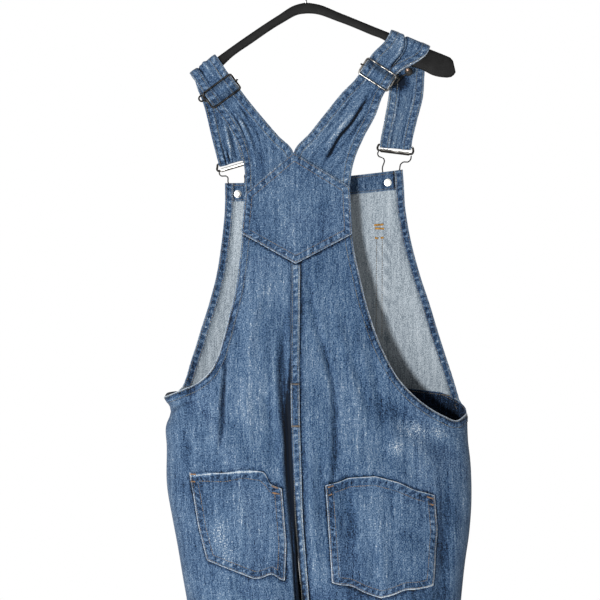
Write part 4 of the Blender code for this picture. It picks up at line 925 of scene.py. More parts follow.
FRONT_SHARES = np.unique(np.concatenate([[0, 0.003, 0.007, 0.012, 0.02, 0.032, 0.044], np.linspace(0.06, 0.97, 50),
                                         [0.98, 0.988, 0.994, 1]]))
for half, side in HALVES:
    top = waist_z(half * FRONT_SHARES) - WAISTBAND - GAP
    z = top + np.linspace(0, 1, 30)[:, None] * (FAN_Z - top)
    leg_z = np.concatenate([np.linspace(FAN_Z - 6, HEM_Z[half] + LEG_HEM, 150), HEM_Z[half] + HEM_STEPS])[:, None]
    z = np.vstack([z, np.repeat(leg_z, len(FRONT_SHARES), axis=1)])
    grid = on_body(half, FRONT, FRONT_SHARES, z)
    x, hem, across = grid[..., 0], z - HEM_Z[half], FRONT_SHARES * way_length(half, FRONT, z)
    folds = fold_height(FRONT, x, z)
    relief = folds + turned_edge(hem, LEG_HEM, HEM_ROW) + pucker(x, hem, LEG_HEM)
    relief += 0.4 * bell(across - 5, 4) * (z > CROTCH_Z)
    grid = raised(grid, TO_FRONT, relief)
    wear = edge_wear(hem, LEG_HEM, HEM_ROW) - 0.4 * bell(across, 1.5) + 0.4 * hollow_wear(folds)
    # the thighs are faded
    wear += blots(z, FRONT_SHARES, ((-1150, 0.5, 170, 0.3, 0.35),))
    panel = cloth("front_panel_" + side, grid, TO_FRONT, (half * across + 700, z), CLOTH, wrong_side=True, wear=wear,
                  seam_run=(x, hem, fade_in(LEG_HEM + 1 - hem, 2)))
    settle(panel, "denim", "front_" + side)
    above = z[:, 0] > CROTCH_Z
    places = [HEM_PLACE] + [(above, c) for c in (3, 6) if half == RIGHT]
    sew("front_stitches_" + side, picked(grid, TO_FRONT, places), TAN_THREAD)
    # the turned hem inside the leg, all round, open by a hair at the inseam
    inner = [raised(outer, facing, -(CLOTH + GAP))[-len(HEM_STEPS):]
             for outer, facing in ((grid, TO_FRONT), (BACK_GRIDS[half][1], TO_BACK))]
    inner = np.concatenate([inner[0][:, 1:], inner[1][:, ::-1][:, :-1]], axis=1)
    turned = cloth("leg_hem_turning_" + side, inner, TO_FRONT, (run_along(inner[0]), inner[..., 2]), wear=-0.1)
    settle(turned, "denim", "leg_hem_" + side)

# ======== Waistband ========
# A straight band across the front between the bib and the legs, edge-stitched along both its seams.
shares = np.concatenate([-FRONT_SHARES[::-1][:-1], FRONT_SHARES])


def across_front(z):
    """Points of the body's front at heights z, by column from the left side seam to the right one."""
    left = shares < 0
    return np.concatenate([on_body(LEFT, FRONT, -shares[left], z[:, left]),
                           on_body(RIGHT, FRONT, shares[~left], z[:, ~left])], axis=1)


drop = np.array([0, 0.7, 1.3, 2, 3, 5, 9, 14, 21, 28, 33, 37, 39, 40, 40.7, 41.3, 42])[:, None]
z = waist_z(shares) - drop
grid = across_front(z)
edge = np.minimum(drop, WAISTBAND - drop)
relief = 0.3 - 0.5 * bell(edge, 0.9) - 0.3 * bell(edge - 2, 1.1)
grid = raised(grid, TO_FRONT, fold_height(FRONT, grid[..., 0], z) + relief)
band = cloth("front_waistband", grid, TO_FRONT, (-z, grid[..., 0] + 900), CLOTH,
             wear=0.5 * bell(edge, 1.2) + 0 * shares, seam_run=(grid[..., 0], edge, 0.4))
settle(band, "denim", "waistband")
sew("waistband_stitches", picked(grid, TO_FRONT, (3, 13)), TAN_THREAD)

# ======== Waistband facing ========
# The band is doubled inside by a facing of the same denim, right side out, which stands higher than the waist seam
# in the middle of the front, where it fills the shade inside the right armhole; painted shade darkens it all over.
FACING_SHARE = (-1, -0.95, -0.89, -0.82, -0.6, 0, 0.5, 0.8, 0.93, 1)
FACING_RISE, FACING_DEPTH = (-1, 2, 6, 8, 8, 26, 30, 25, 11, 2), 34
top = np.interp(shares, FACING_SHARE, FACING_RISE)
up = np.array([0, 0.1, 0.25, 0.4, 0.55, 0.7, 0.8, 0.88, 0.92, 0.95, 0.98, 1])[:, None]
z = waist_z(shares) - FACING_DEPTH + up * (FACING_DEPTH + top)
grid = across_front(z)
grid = raised(grid, TO_FRONT, fold_height(FRONT, grid[..., 0], z) - CLOTH - 2 * GAP)
from_top = (1 - up) * (FACING_DEPTH + top)
# painted shade: dark all over, darker towards its foot; its top fold is pale
wear = 0.9 * bell(from_top, 1.0) * (shares > -0.5) - 1.0 - 0.3 * fade_in(from_top, 20)
inner_band = cloth("waistband_inner_band", grid, TO_BACK, (grid[..., 0] + 2400, z), wear=wear)
settle(inner_band, "denim")
sew("inner_band_stitches", picked(grid, TO_BACK, (-3,)), TAN_THREAD)
# bartacks at the end of the side opening
BAND_TACKS = ((194, -620.5, 205, -622), (213, -634, 216, -641))
sew("inner_band_tacks", tacks(BAND_TACKS, FRONT, -(CLOTH + OVERLAY + 1.4)), TAN_THREAD, pitch=0.9,
    size=(0.8, 1.5, 0.9))

# ======== Bib ========
# The front's upper piece, seen from behind on its wrong side.  Its sides are turned in and sewn with two rows,
# and a facing of the same denim, right side out, doubles its top where the buttons are fixed.
BIB_EDGES = (          # left x, left z, right x, right z, from the waist up
    (-187, -624, 225.5, -645), (-175, -610, 217, -627), (-163, -575, 204, -583), (-150, -533, 190, -540),
    (-137, -492, 176, -494), (-126, -450, 162, -452), (-119, -405, 149, -404), (-115, -369, 141, -359),
    (-114, -348, 139, -330), (-114, -322, 137, -303),
)
BIB_TOP_SAG, BIB_HEM, FACING_INSET = 5, 11, 1.1
FACING_FROM, FACING_LENGTH = 8, 230       # the top facing's lowest row in that table, and its length
BIB_ROWS = np.unique(np.concatenate([np.linspace(0, 9, 150), [8, 8.02, 8.04, 8.07, 8.92, 8.95, 8.975]]))
HEM_PLACES = np.array([0, 0.06, 0.12, 0.18, 0.28, 0.4, 0.55, 0.7, 0.82, 0.9, 0.95, 1])


def bib_face(rows, across):
    """Grid of the bib's outside at rows of its table; across runs 0 to 1 over the left hem, to 2 over the bib's
    middle and to 3 over the right hem."""
    left_x, left_z, right_x, right_z = through(np.column_stack([range(10), BIB_EDGES]), rows).T[:, :, None]
    low = -share_at(LEFT, FRONT, left_x, left_z)
    high = share_at(RIGHT, FRONT, right_x, right_z)
    low_hem = BIB_HEM / way_length(LEFT, FRONT, left_z)
    high_hem = BIB_HEM / way_length(RIGHT, FRONT, right_z)
    middle = low + low_hem + (across - 1) * (high - high_hem - low - low_hem)
    share = np.select([across <= 1, across <= 2], [low + across * low_hem, middle], high - (3 - across) * high_hem)
    t = (share - low) / (high - low)
    rows = rows[:, None]
    z = left_z + t * (right_z - left_z) - BIB_TOP_SAG * fade_in(rows - 4, 5) * np.sin(np.pi * t)
    seam, first = waist_z(share) + 2 * GAP, BIB_EDGES[1][1] + t * (BIB_EDGES[1][3] - BIB_EDGES[1][1])
    z = np.where(rows < 1, seam + rows * (first - seam), z)
    spots = np.where((share > 0)[..., None], on_body(RIGHT, FRONT, np.abs(share), z),
                     on_body(LEFT, FRONT, np.abs(share), z))
    return raised(spots, TO_FRONT, fold_height(FRONT, spots[..., 0], spots[..., 2]))


across = np.concatenate([HEM_PLACES, 1 + np.linspace(0, 1, 62)[1:-1], 3 - HEM_PLACES[::-1]])
grid = bib_face(BIB_ROWS, across)
normal = normals(grid, TO_FRONT)
run = np.cumsum(np.linalg.norm(np.diff(grid, axis=1, prepend=grid[:, :1]), axis=-1), axis=1)
from_side = np.minimum(run, run[:, -1:] - run)
from_top = run_along(grid[::-1, 40])[::-1][:, None] + 0 * from_side
from_edge = np.minimum(from_side, from_top)
relief = turned_edge(from_edge, BIB_HEM, STITCH_ROWS) + pucker(grid[..., 2], from_side, BIB_HEM)
grid = grid + normal * relief[..., None]
x, z = grid[..., 0], grid[..., 2]
# the chest pocket's two rows of stitches and its seam allowance press through to the wrong side: start x, z, end
# x, z of the rows, then x and width of the ridges, and their ends
POCKET_LINES = ((100.5, -401, 100.5, -545), (108.5, -401, 108.5, -545))
RIDGES, RIDGE_TOP_Z, RIDGE_FOOT_Z = ((104.5, 2.6), (112.5, 1.6)), -396, -550
ridge = sum(bell(x - ridge_x, width) for ridge_x, width in RIDGES)
ridge = ridge * fade_in(RIDGE_TOP_Z - z, 5) * fade_in(z - RIDGE_FOOT_Z, 5)
grid = grid - normal * (0.7 * ridge)[..., None]
# painted light: the ridges get a highlight, and a shadow line lies beside the outer ridge and past each hem
wear = (edge_wear(from_edge, BIB_HEM) + 0.3 * ridge
        - 0.4 * bell(x - 116, 1.6) * (ridge.max(axis=1, keepdims=True) > 0.5)
        - 0.5 * bell(from_side - BIB_HEM - 1.5, 2.5))
bib = cloth("bib_front", grid, TO_FRONT, (x + 1200, z), CLOTH, wrong_side=True, wear=wear,
            seam_run=(z, from_side, between_rows(from_side)))
settle(bib, "denim", "bib")
places = [np.s_[:, i] for i in (3, 9, -4, -10)]
places += [np.s_[np.abs(from_top[:, 0] - d).argmin(), 12:-12] for d in (3, 24)]
sew("bib_stitches", picked(grid, TO_FRONT, places), TAN_THREAD)
sew("pocket_stitches_inside", tacks(POCKET_LINES, FRONT, -(CLOTH + 0.5), 60), TAN_THREAD, pitch=2.9,
    size=(2.3, 0.9, 0.7))
# the pocket's bartacks on the wrong side: start x, z, end x, z
INSIDE_TACKS = ((97, -381, 110, -380), (98, -385.5, 111, -386), (98, -399, 103, -399.5), (106, -399, 110.5, -398.5))
sew("pocket_tacks_inside", tacks(INSIDE_TACKS, FRONT, -(CLOTH + 0.6)), GOLD_THREAD, pitch=0.7, size=(0.8, 3.0, 1.0))
for side, hem_across in (("left", HEM_PLACES), ("right", 3 - HEM_PLACES)):
    grid = bib_face(BIB_ROWS[BIB_ROWS >= 1], hem_across)
    d = BIB_HEM * HEM_PLACES + 0 * grid[..., 0]
    inner_edge = bell(BIB_HEM - d, 1.3)
    relief = 0.45 * inner_edge - 0.6 * bell(d, 0.9) - 0.3 * bell(d - 2, 1) + 0.7 * pucker(grid[..., 2], d, BIB_HEM)
    grid = raised(grid, TO_BACK, CLOTH + GAP + OVERLAY + relief)
    hem = cloth("bib_turning_" + side, grid, TO_BACK, (grid[..., 0] + 1500, grid[..., 2]),
                wear=0.7 * inner_edge + 0.7 * bell(d, 0.9) - 0.2, seam_run=(grid[..., 2], d, 1.15 * between_rows(d)))
    settle(hem, "denim", "bib_hem_" + side)
    sew("bib_turning_stitches_" + side, picked(grid, TO_BACK, BAND_COLUMNS), TAN_THREAD)

inset = (np.array([0, 0.8, 1.6, 2.6]) + FACING_INSET) / FACING_LENGTH
across = np.concatenate([1 + inset, np.linspace(1.03, 1.97, 56), 2 - inset[::-1]])
grid = bib_face(BIB_ROWS[BIB_ROWS >= FACING_FROM], across)
end_d = np.minimum(across - 1, 2 - across) * FACING_LENGTH - FACING_INSET
from_top = run_along(grid[::-1, 20])[::-1][:, None] + 0 * grid[..., 0]
low_edge = from_top.max() - from_top
relief = (0.5 * bell(low_edge, 1.6) - 0.5 * bell(from_top, 0.9) - 0.3 * bell(low_edge - 2.5, 1)
          + 0.6 * pucker(grid[..., 0], low_edge, 12))
grid = raised(grid, TO_BACK, CLOTH + GAP + OVERLAY + relief)
# painted shadow along both ends of the band, beside the hems
wear = 0.5 * bell(low_edge, 1.3) + 0.6 * bell(from_top, 1.2) - 0.15 - 1.6 * bell(end_d, 1.6)
facing = cloth("bib_top_band", grid, TO_BACK, (grid[..., 0] + 1700, grid[..., 2]), wear=wear,
               seam_run=(grid[..., 0], low_edge, 0.8 * between_rows(low_edge, (4, 14))))
settle(facing, "denim", "bib_top_facing")
places = [np.abs(low_edge[:, 0] - 2.5).argmin(), np.abs(from_top[:, 0] - 3).argmin()]
sew("bib_band_stitches", picked(grid, TO_BACK, places), TAN_THREAD)

# ======== Chest pocket ========
# A patch pocket on the bib's outside; from behind only its stitches and bartacks show, through the bib.
BIB_POCKET = ((-78, -384), (106, -384), (100, -540), (14, -556), (-72, -540))
chest_pocket, grid, normal, _ = patch(
    "chest_pocket_patch", BIB_POCKET, FRONT, 2 * GAP + OVERLAY,
    lambda inside, run: turned_edge(inside.min(axis=0), LAP, STITCH_ROWS, 0.4, 0.4), OVERLAY,
    lambda inside: edge_wear(inside.min(axis=0), LAP), 0.9)
settle(chest_pocket, "denim", "bib_pocket")
sew("chest_pocket_stitches", double_row(grid, normal), TAN_THREAD)

# ======== Straps ========
# One long band each, two layers of denim turned and double-stitched along both edges.  It leaves the yoke, runs
# under the slide's frame and over its bar, over the hanger, round the buckle and back up to the bar.
STRAP, STRAP_WIDTH, ARM_HALF, LAYERS_APART = 2.2, 44, 4.5, 0.45
SLIDE_Y, SLIDE_HALF, SLIDE_CORNER = -16.6, (24, 12.5), 3.5
SLIDE_WIRE, BAR_WIRE = 1.2, 1.2
LAYER_INNER = ARM_HALF + GAP + STRAP / 2
LAYER_OUTER = LAYER_INNER + STRAP + LAYERS_APART
UNDER_SLIDE, OVER_BAR = SLIDE_WIRE + GAP + STRAP / 2, BAR_WIRE + GAP + STRAP + GAP + STRAP / 2
# the strap past the slide: distance up the strap, height over the slide's plane
SLIDE_WAY = ((-17.5, -UNDER_SLIDE - 0.4), (-10.5, -UNDER_SLIDE), (-5.6, 2.2), (-2.4, OVER_BAR),
             (2.4, OVER_BAR), (5.6, 2.2), (10.5, -UNDER_SLIDE), (15.5, -UNDER_SLIDE))
LOOP_WIDTH = STRAP_WIDTH - 7
STRAPS = {
    LEFT: {
        # the sewn end: left x, left z, right x, right z, going up from under the yoke
        "tail": ((-83, -355, -18, -299), (-84, -338, -18, -281), (-85, -305, -38, -259),
                 (-93.5, -273, -57, -237), (-107, -247, -76, -214)),
        "slide": (-117, -196, 36.4), "crest": (-145, -156, 36.4, 44),
        # falling to the buckle: x, y, z, tilt, width
        "front": ((-132, 11, -181, 28, 44), (-123, 12.5, -204, 20, 44), (-111, 14, -254, 17.6, 43)),
        "buckle_bar": (-100.8, 14, -290.6, 16), "lower_bar": (-99.6, 16, -299, 16.5), "button": (-96, -337),
        # pleats: place along (0 the yoke, 1 to 1.2 the slide, 2 the top), place across, width, height
        "pleats": (((0.2, 0.2, 2, 0), (0.5, 0.25, 2, -1.3), (0.8, 0.3, 2, -2), (1, 0.35, 1.8, -1.9),
                    (1.06, 0.35, 2, 0)),
                   ((0.3, 0.42, 2.5, 0), (0.6, 0.44, 2.2, -1.3), (0.9, 0.5, 2, -1.7), (1.05, 0.5, 2, 0)),
                   ((0.5, 0.62, 2.5, 0), (0.8, 0.63, 2, -1.4), (1, 0.66, 2, -1.6), (1.06, 0.66, 2, 0)),
                   ((0.2, 0.31, 4, 0), (0.6, 0.35, 3, 1.4), (1, 0.42, 2.2, 1.2), (1.06, 0.42, 2, 0)),
                   ((1.2, 0.34, 2, 0), (1.5, 0.33, 2, -1.4), (2, 0.33, 2, -2.2), (2.3, 0.33, 2, 0)),
                   ((1.2, 0.56, 2.5, 0), (1.6, 0.56, 3, 1.3), (2, 0.56, 3, 1.6), (2.3, 0.56, 3, 0)),
                   ((2.6, 0.5, 2, 0), (3, 0.5, 2.5, -1.4), (3.6, 0.45, 3, -1), (4, 0.45, 3, 0)),
                   ((2.6, 0.7, 2, 0), (3, 0.72, 2.5, 1.2), (3.8, 0.7, 3, 1), (4, 0.7, 3, 0)),
                   ((4.4, 0.24, 2, 0), (4.5, 0.24, 1.6, -3.4), (4.56, 0.24, 1.5, -2.6), (4.68, 0.24, 2, 0)),
                   ((4.4, 0.38, 2, 0), (4.5, 0.38, 1.5, -3.2), (4.55, 0.37, 1.4, -2.4), (4.61, 0.36, 2, 0)),
                   ((4.4, 0.62, 2, 0), (4.55, 0.6, 2.5, -1.8), (4.7, 0.62, 2.5, -1.6), (4.95, 0.62, 3, 0)),
                   ((4.4, 0.18, 1.4, 0), (4.5, 0.18, 1.4, 1.8), (4.65, 0.18, 1.4, 1.8), (4.8, 0.2, 1.4, 1.5),
                    (5, 0.2, 2, 0)),
                   ((4.4, 0.42, 1.4, 0), (4.52, 0.43, 1.4, 2), (4.58, 0.48, 1.4, 2.4), (4.7, 0.52, 1.4, 2.2),
                    (4.85, 0.5, 1.4, 1.4), (5, 0.48, 2, 0))),
    },
    RIGHT: {
        "tail": ((-16, -299, 60, -347), (-16, -281, 61, -329), (6, -254.5, 67, -294),
                 (28, -226.5, 80.6, -261), (50, -199, 97, -230)),
        "slide": (100, -173, -32.9), "crest": (147.3, -119.6, -23, 59.5),
        "front": ((143, 11, -159, -14, 50), (141, 12.5, -198, -8, 48), (133, 14, -237, -5, 45)),
        "buckle_bar": (126.5, 14, -271, -5), "lower_bar": (125.7, 16, -278.8, -7), "button": (116, -321),
        "pleats": (((0.1, 0.49, 3, 0), (0.22, 0.52, 2.4, -4), (0.5, 0.53, 2.4, -6), (0.75, 0.6, 2.2, -7),
                    (0.97, 0.6, 2, -5), (1.08, 0.6, 2, 0)),
                   ((0.1, 0.4, 5, 0), (0.4, 0.43, 4, 1.8), (0.8, 0.5, 3, 2), (1, 0.52, 2, 0)),
                   ((0.3, 0.74, 4, 0), (0.6, 0.74, 3, -1.5), (0.9, 0.78, 2.4, -1.8), (1.05, 0.78, 2, 0)),
                   ((0.4, 0.27, 4, 0), (0.7, 0.28, 3, -1.3), (0.95, 0.3, 2.4, -1.3), (1.05, 0.3, 2, 0)),
                   ((1.18, 0.76, 2, 0), (1.3, 0.72, 2, -4), (1.7, 0.5, 2.2, -5), (2, 0.36, 2.2, -4),
                    (2.4, 0.34, 2.5, 0)),
                   ((1.2, 0.62, 3, 0), (1.4, 0.58, 3, 1.4), (1.8, 0.36, 3.5, 1.6), (2.1, 0.24, 3.5, 0)),
                   ((2.6, 0.4, 2, 0), (3, 0.36, 2.5, -1.4), (3.8, 0.36, 3, -1), (4, 0.36, 3, 0)),
                   ((2.6, 0.6, 2, 0), (3, 0.56, 2.5, 1.2), (3.8, 0.55, 3, 1), (4, 0.55, 3, 0)),
                   ((4.35, 0.44, 2, 0), (4.5, 0.45, 2, 1.2), (4.7, 0.47, 2, 1), (5, 0.48, 2, 0)),
                   ((4.35, 0.36, 2, 0), (4.5, 0.35, 2, -1.6), (4.7, 0.33, 2, -1.2), (5, 0.3, 2, 0))),
    },
}


def tilted(tilt):
    """Unit vectors across and up the garment, turned by a tilt in degrees: (cos, 0, sin) and (-sin, 0, cos)."""
    cos, sin = np.cos(np.radians(tilt)), np.sin(np.radians(tilt))
    return np.array([cos, 0, sin]), np.array([-sin, 0, cos])


def station(centre, tilt, width):
    """Left and right edge points of the strap at one place."""
    return np.array(centre) + tilted(tilt)[0] * width / 2 * np.array([[-1], [1]])


def bend(centre, tilt, width, radius, angles):
    """Stations round a bar or over the hanger: angle 0 faces the front, 90 is up along the strap."""
    return [station(centre + radius * (np.array([0, np.cos(t), 0]) + tilted(tilt)[1] * np.sin(t)), tilt, width)
            for t in np.radians(angles)]


def strap_stations(spec):
    """The strap's whole way: yoke, slide, over the hanger, round the buckle, and back to the slide's bar."""
    way = []
    for ends in spec["tail"]:
        x, z = np.array(ends[::2], dtype=float), np.array(ends[1::2], dtype=float)
        way.append(np.stack([x, body_y(BACK, x, z) + STRAP / 2 + GAP, z], axis=1))
    slide_x, slide_z, tilt = spec["slide"]
    slide, up = np.array([slide_x, SLIDE_Y, slide_z]), tilted(tilt)[1]
    way += [station(slide + up * along + np.array([0, -rise, 0]), tilt, STRAP_WIDTH) for along, rise in SLIDE_WAY]
    crest_x, crest_z, crest_tilt, crest_width = spec["crest"]
    crest = np.array([crest_x, 0, crest_z]) - tilted(crest_tilt)[1] * (LAYER_OUTER + STRAP / 2)
    way += bend(crest, crest_tilt, crest_width, LAYER_OUTER, range(180, -1, -15))
    way += [station((x, y, z), t, width) for x, y, z, t, width in spec["front"]]
    loop = BAR_WIRE + GAP + STRAP / 2
    way += bend(np.array(spec["buckle_bar"][:3]), spec["buckle_bar"][3], STRAP_WIDTH, loop, range(20, -201, -20))
    way += [station((x, y - STRAP - LAYERS_APART, z), t, width - 1) for x, y, z, t, width in spec["front"][::-1]]
    way += bend(crest, crest_tilt, crest_width - 1, LAYER_INNER, range(0, 181, 15))
    inner = np.array([0, UNDER_SLIDE + STRAP + GAP, 0])
    way.append(station(slide + up * (SLIDE_HALF[1] + 1) + inner, tilt, STRAP_WIDTH - 2))
    return np.array(way + bend(slide, tilt, LOOP_WIDTH, loop, range(30, -201, -20)))


STRAP_ROWS, STRAP_BAND = (2, 10.5), 12.5
# painted shadow of the right slide on the strap's layer behind it
SLIDE_SHADE = ((132, -181, 11, 11, 2.4),)     # x, z, half width, half height, strength
BAND_PLACES = np.array([0, 0.7, 1.3, 2, 2.8, 4, 5.5, 7, 8.5, 9.5, 10.5, 11.5, 12.5])
for half, side in HALVES:
    spec = STRAPS[half]
    way = strap_stations(spec)
    run = run_along(way.mean(axis=1))
    along = np.arange(0, run[-1], 1.5)
    edges = through(np.column_stack([run, way.reshape(-1, 6)]), along).reshape(-1, 2, 3)
    width = np.linalg.norm(edges[:, 1] - edges[:, 0], axis=1)[:, None]
    # both stitched bands keep their width, and what is left between them narrows from the yoke to the slide
    middle = BAND_PLACES[-1] + np.linspace(0, 1, 26)[1:-1] * (width - 2 * BAND_PLACES[-1])
    place = np.concatenate([BAND_PLACES + 0 * width, middle, width - BAND_PLACES[::-1]], axis=1)
    share = place / width
    grid = edges[:, :1] + (edges[:, 1:] - edges[:, :1]) * share[..., None]
    # how far along the strap is, as the pleats' tables count it: the stations where it changes, and their counts
    tail = len(spec["tail"])
    over = tail + len(SLIDE_WAY)
    marks = [1, tail - 1, over - 1, over + 6, over + 13, over + 16, over + 27, over + 30, over + 43]
    progress = np.interp(along, run[marks], (0, 1, 1.2, 2, 3, 4, 4.5, 5, 6))
    pleats, crease_shade, crests = 0, 0, 0
    for rows in spec["pleats"]:
        at = through(rows, progress)[:, None]
        across = ((share - at[..., 0]) * width / at[..., 1]) ** 2
        pleats = pleats + crease(at[..., 2], across)
        crease_shade = crease_shade + np.clip(-at[..., 2] - 1.8, 0, 3) * np.exp(-across / 0.8)
        crests = crests + np.clip(at[..., 2] - 1, 0, 2) * np.exp(-across / 0.5)
    d = np.minimum(place, width - place)
    relief = turned_edge(d, STRAP_BAND, STRAP_ROWS, 0.45, 0.45) - 0.2 + pleats + 0.7 * pucker(along[:, None], d, 13)
    grid = raised(grid, TO_BACK, relief)
    # painted shade in the deep creases, lighter pleat crests, and a painted highlight on each band's inner step
    wear = edge_wear(d, STRAP_BAND, STRAP_ROWS) + 1.7 * hollow_wear(pleats) - 0.75 * crease_shade + 0.55 * crests
    wear = wear + 0.4 * bell(d - STRAP_BAND + 0.2, 0.7) - (0.15 if half == LEFT else 0)
    if half == RIGHT:
        # the free edge over the shoulder is rubbed white
        shoulder = fade_in(progress - 1.15, 0.05) * fade_in(2.3 - progress, 0.3)
        wear = wear + 1.3 * shoulder[:, None] * bell(width - place, 0.9) + 0.2 * np.clip(progress - 4, 0, 1)[:, None]
        # painted shadow of the slide on the strap's layer behind it
        wear = wear - (grid[..., 1] > 3) * blots(grid[..., 0], grid[..., 2], SLIDE_SHADE)
    strap = cloth("strap_band_" + side, grid, TO_BACK, (place + 2000 + 90 * half, along[:, None]), STRAP - 0.3, 0,
                  wear=wear, seam_run=(along[:, None], d, 0.9 * between_rows(d, STRAP_ROWS)))
    settle(strap, "denim", "strap_" + side)
    # the rows of stitches end short of the curl round the slide's bar
    outer, normal = raised(grid, TO_BACK, STRAP / 2 - 0.1), normals(grid, TO_BACK)
    rows = [(outer[:-14, i], normal[:-14, i]) for i in (3, 10, -4, -11)]
    sew("strap_stitches_" + side, rows, WORN_THREAD)

# ======== Slides ========
# Adjusters bent from 2.4 mm steel wire, blackened in a hot oxide bath: a frame with round corners, and a bar
# curled round its one side, with a small eye at the end of the bar past the other side.
SLIDE_SHOWN = 1.5              # the blackened wire with its thick oxide, a little fuller than the bare one
CURL = SLIDE_SHOWN + 0.4 + BAR_WIRE
BAR_BEND = ((2.2, -CURL + 0.8), (4.8, 0), (9, 0))      # the bar's dip beside the frame: distance in from it, rise
EYES = {LEFT: (-28.6, 8.5, 3.9), RIGHT: (34.2, 27, 4.6)}      # centre of the eye, across and along, and its radius


def metal(name, code, dark_code, scale, roughness, rough_worn, top_light=0.1, span=(0.38, 0.66)):
    """Metal with a thin finish: brighter where handling has polished it, duller where the finish holds.  Painted
    light makes it lighter on top and darker underneath by a gain, and span is how much of the ramp shows."""
    finish, tree, shader = new_finish(name)
    place = add(tree, "TexCoord").outputs["Object"]
    worn = add(tree, "TexNoise", Vector=place, Scale=scale, Detail=4.0, Roughness=0.65).outputs["Fac"]
    upward = add(tree, "SeparateXYZ", in_0=add(tree, "TexCoord").outputs["Normal"]).outputs["Z"]
    ramp = add(tree, "ValToRGB", Fac=add(tree, "Math", MULTIPLY_ADD, in_0=upward, in_1=top_light, in_2=worn).outputs[0])
    set_ramp(ramp, ((span[0], dark_code), (span[1], code)))
    polish = add(tree, "MapRange", Value=worn, From_Min=0.35, From_Max=0.7, To_Min=roughness, To_Max=rough_worn)
    grain = add(tree, "TexNoise", Vector=place, Scale=2500.0).outputs["Fac"]
    relief = add(tree, "Bump", Strength=0.15, Distance=0.0001, Height=grain).outputs["Normal"]
    plug(tree, shader, Base_Color=ramp.outputs["Color"], Roughness=polish.outputs[0], Normal=relief, Metallic=1.0)
    return finish


BLACK_WIRE = metal("black_oxide_steel_wire", "222120", "060606", 200.0, 0.55, 0.4)
# the right slide's frame: a lighter copy of the blackened wire, a painted highlight
HIGHLIT_WIRE = metal("steel_wire_painted_highlight", "6E6C68", "1A1A1B", 130.0, 0.4, 0.26, 0.16)
NICKEL = metal("satin_nickel_plate", "D6D4CE", "A9A7A2", 220.0, 0.42, 0.3)
# one nickel plate in a lit and a shaded copy, painted light: the left tube mostly bright, the right mostly dark
TUBE_NICKEL = {LEFT: metal("nickel_plate_painted_highlight", "D0CEC8", "34312E", 60.0, 0.45, 0.35, 0.6, (0.1, 0.75)),
               RIGHT: metal("nickel_plate_painted_shade", "C4C1BA", "121110", 60.0, 0.5, 0.4, 0.6, (0.55, 0.95))}
COPPER = metal("bare_copper", "6C5C52", "332A26", 260.0, 0.5, 0.35)


def tube(name, path, radius, finish, closed=False, sides=14):
    """Round wire: circles carried along a path, each frame the last one reflected twice so that it doesn't twist,
    and a dome at each open end, radius·sqrt(1 - t²)."""
    path = np.array(path, dtype=float)
    radii = np.full(len(path), float(radius))
    if closed:
        path = path[:-1] if np.allclose(path[0], path[-1]) else path
        ahead = np.roll(path, -1, axis=0) - np.roll(path, 1, axis=0)
        radii = radii[:len(path)]
    else:
        dome = np.sin(np.linspace(0, np.pi / 2, 5))[1:]
        start, end = path[0] - path[1], path[-1] - path[-2]
        start, end = start / np.linalg.norm(start), end / np.linalg.norm(end)
        caps = radius * dome[:, None] * 0.98
        path = np.vstack([(path[0] + start * caps)[::-1], path, path[-1] + end * caps])
        cap_radii = radius * np.sqrt(1 - (dome * 0.98) ** 2)
        radii = np.concatenate([cap_radii[::-1], radii, cap_radii])
        ahead = np.gradient(path, axis=0)
    ahead /= np.linalg.norm(ahead, axis=1, keepdims=True)
    side = [np.cross(ahead[0], (0.3, 0.9, 0.1))]
    side[0] /= np.linalg.norm(side[0])
    for i in range(len(path) - 1):
        move = path[i + 1] - path[i]
        turned = side[i] - 2 * (move @ side[i]) / (move @ move) * move
        mirrored = ahead[i] - 2 * (move @ ahead[i]) / (move @ move) * move
        left = ahead[i + 1] - mirrored
        side.append(turned - 2 * (left @ turned) / max(left @ left, 1e-12) * left)
    side = np.array(side)
    angle = np.linspace(0, 2 * np.pi, sides, endpoint=False)[None, :, None]
    round_path = np.cos(angle) * side[:, None] + np.sin(angle) * np.cross(ahead, side)[:, None]
    points = path[:, None] + radii[:, None, None] * round_path
    low, high, _ = ring_corners(len(path), sides)
    ends = [low[0][::-1].tolist(), low[-1].tolist()]
    if closed:
        # the last circle meets the first one with whatever twist is left over
        shift = np.linalg.norm(points[0] - points[-1][0] - (path[0] - path[-1]), axis=1).argmin()
        low, high = (np.vstack([corner, np.roll(corner[:1], -shift, axis=1)]) for corner in (low, high))
        ends = []
    faces = np.stack([low[:-1], high[:-1], high[1:], low[1:]], axis=-1).reshape(-1, 4).tolist()
    return new_mesh(name, points, faces + ends, finish)


def local(origin, tilt):
    """Place points given as (across, along, out) beside an origin: out is towards the back."""
    axes = np.array([*tilted(tilt), TO_BACK])
    return lambda places: np.array(origin, dtype=float) + np.array(places, dtype=float) @ axes


def rounded_rectangle(half_width, half_height, radius):
    """Round-cornered rectangle as (across, along, 0): a quarter circle at each corner."""
    turn = np.radians(np.arange(0, 360, 7.5))
    sign_x, sign_y = np.sign(np.cos(turn + 0.01)), np.sign(np.sin(turn + 0.01))
    return np.stack([sign_x * (half_width - radius) + radius * np.cos(turn),
                     sign_y * (half_height - radius) + radius * np.sin(turn), 0 * turn], axis=1)


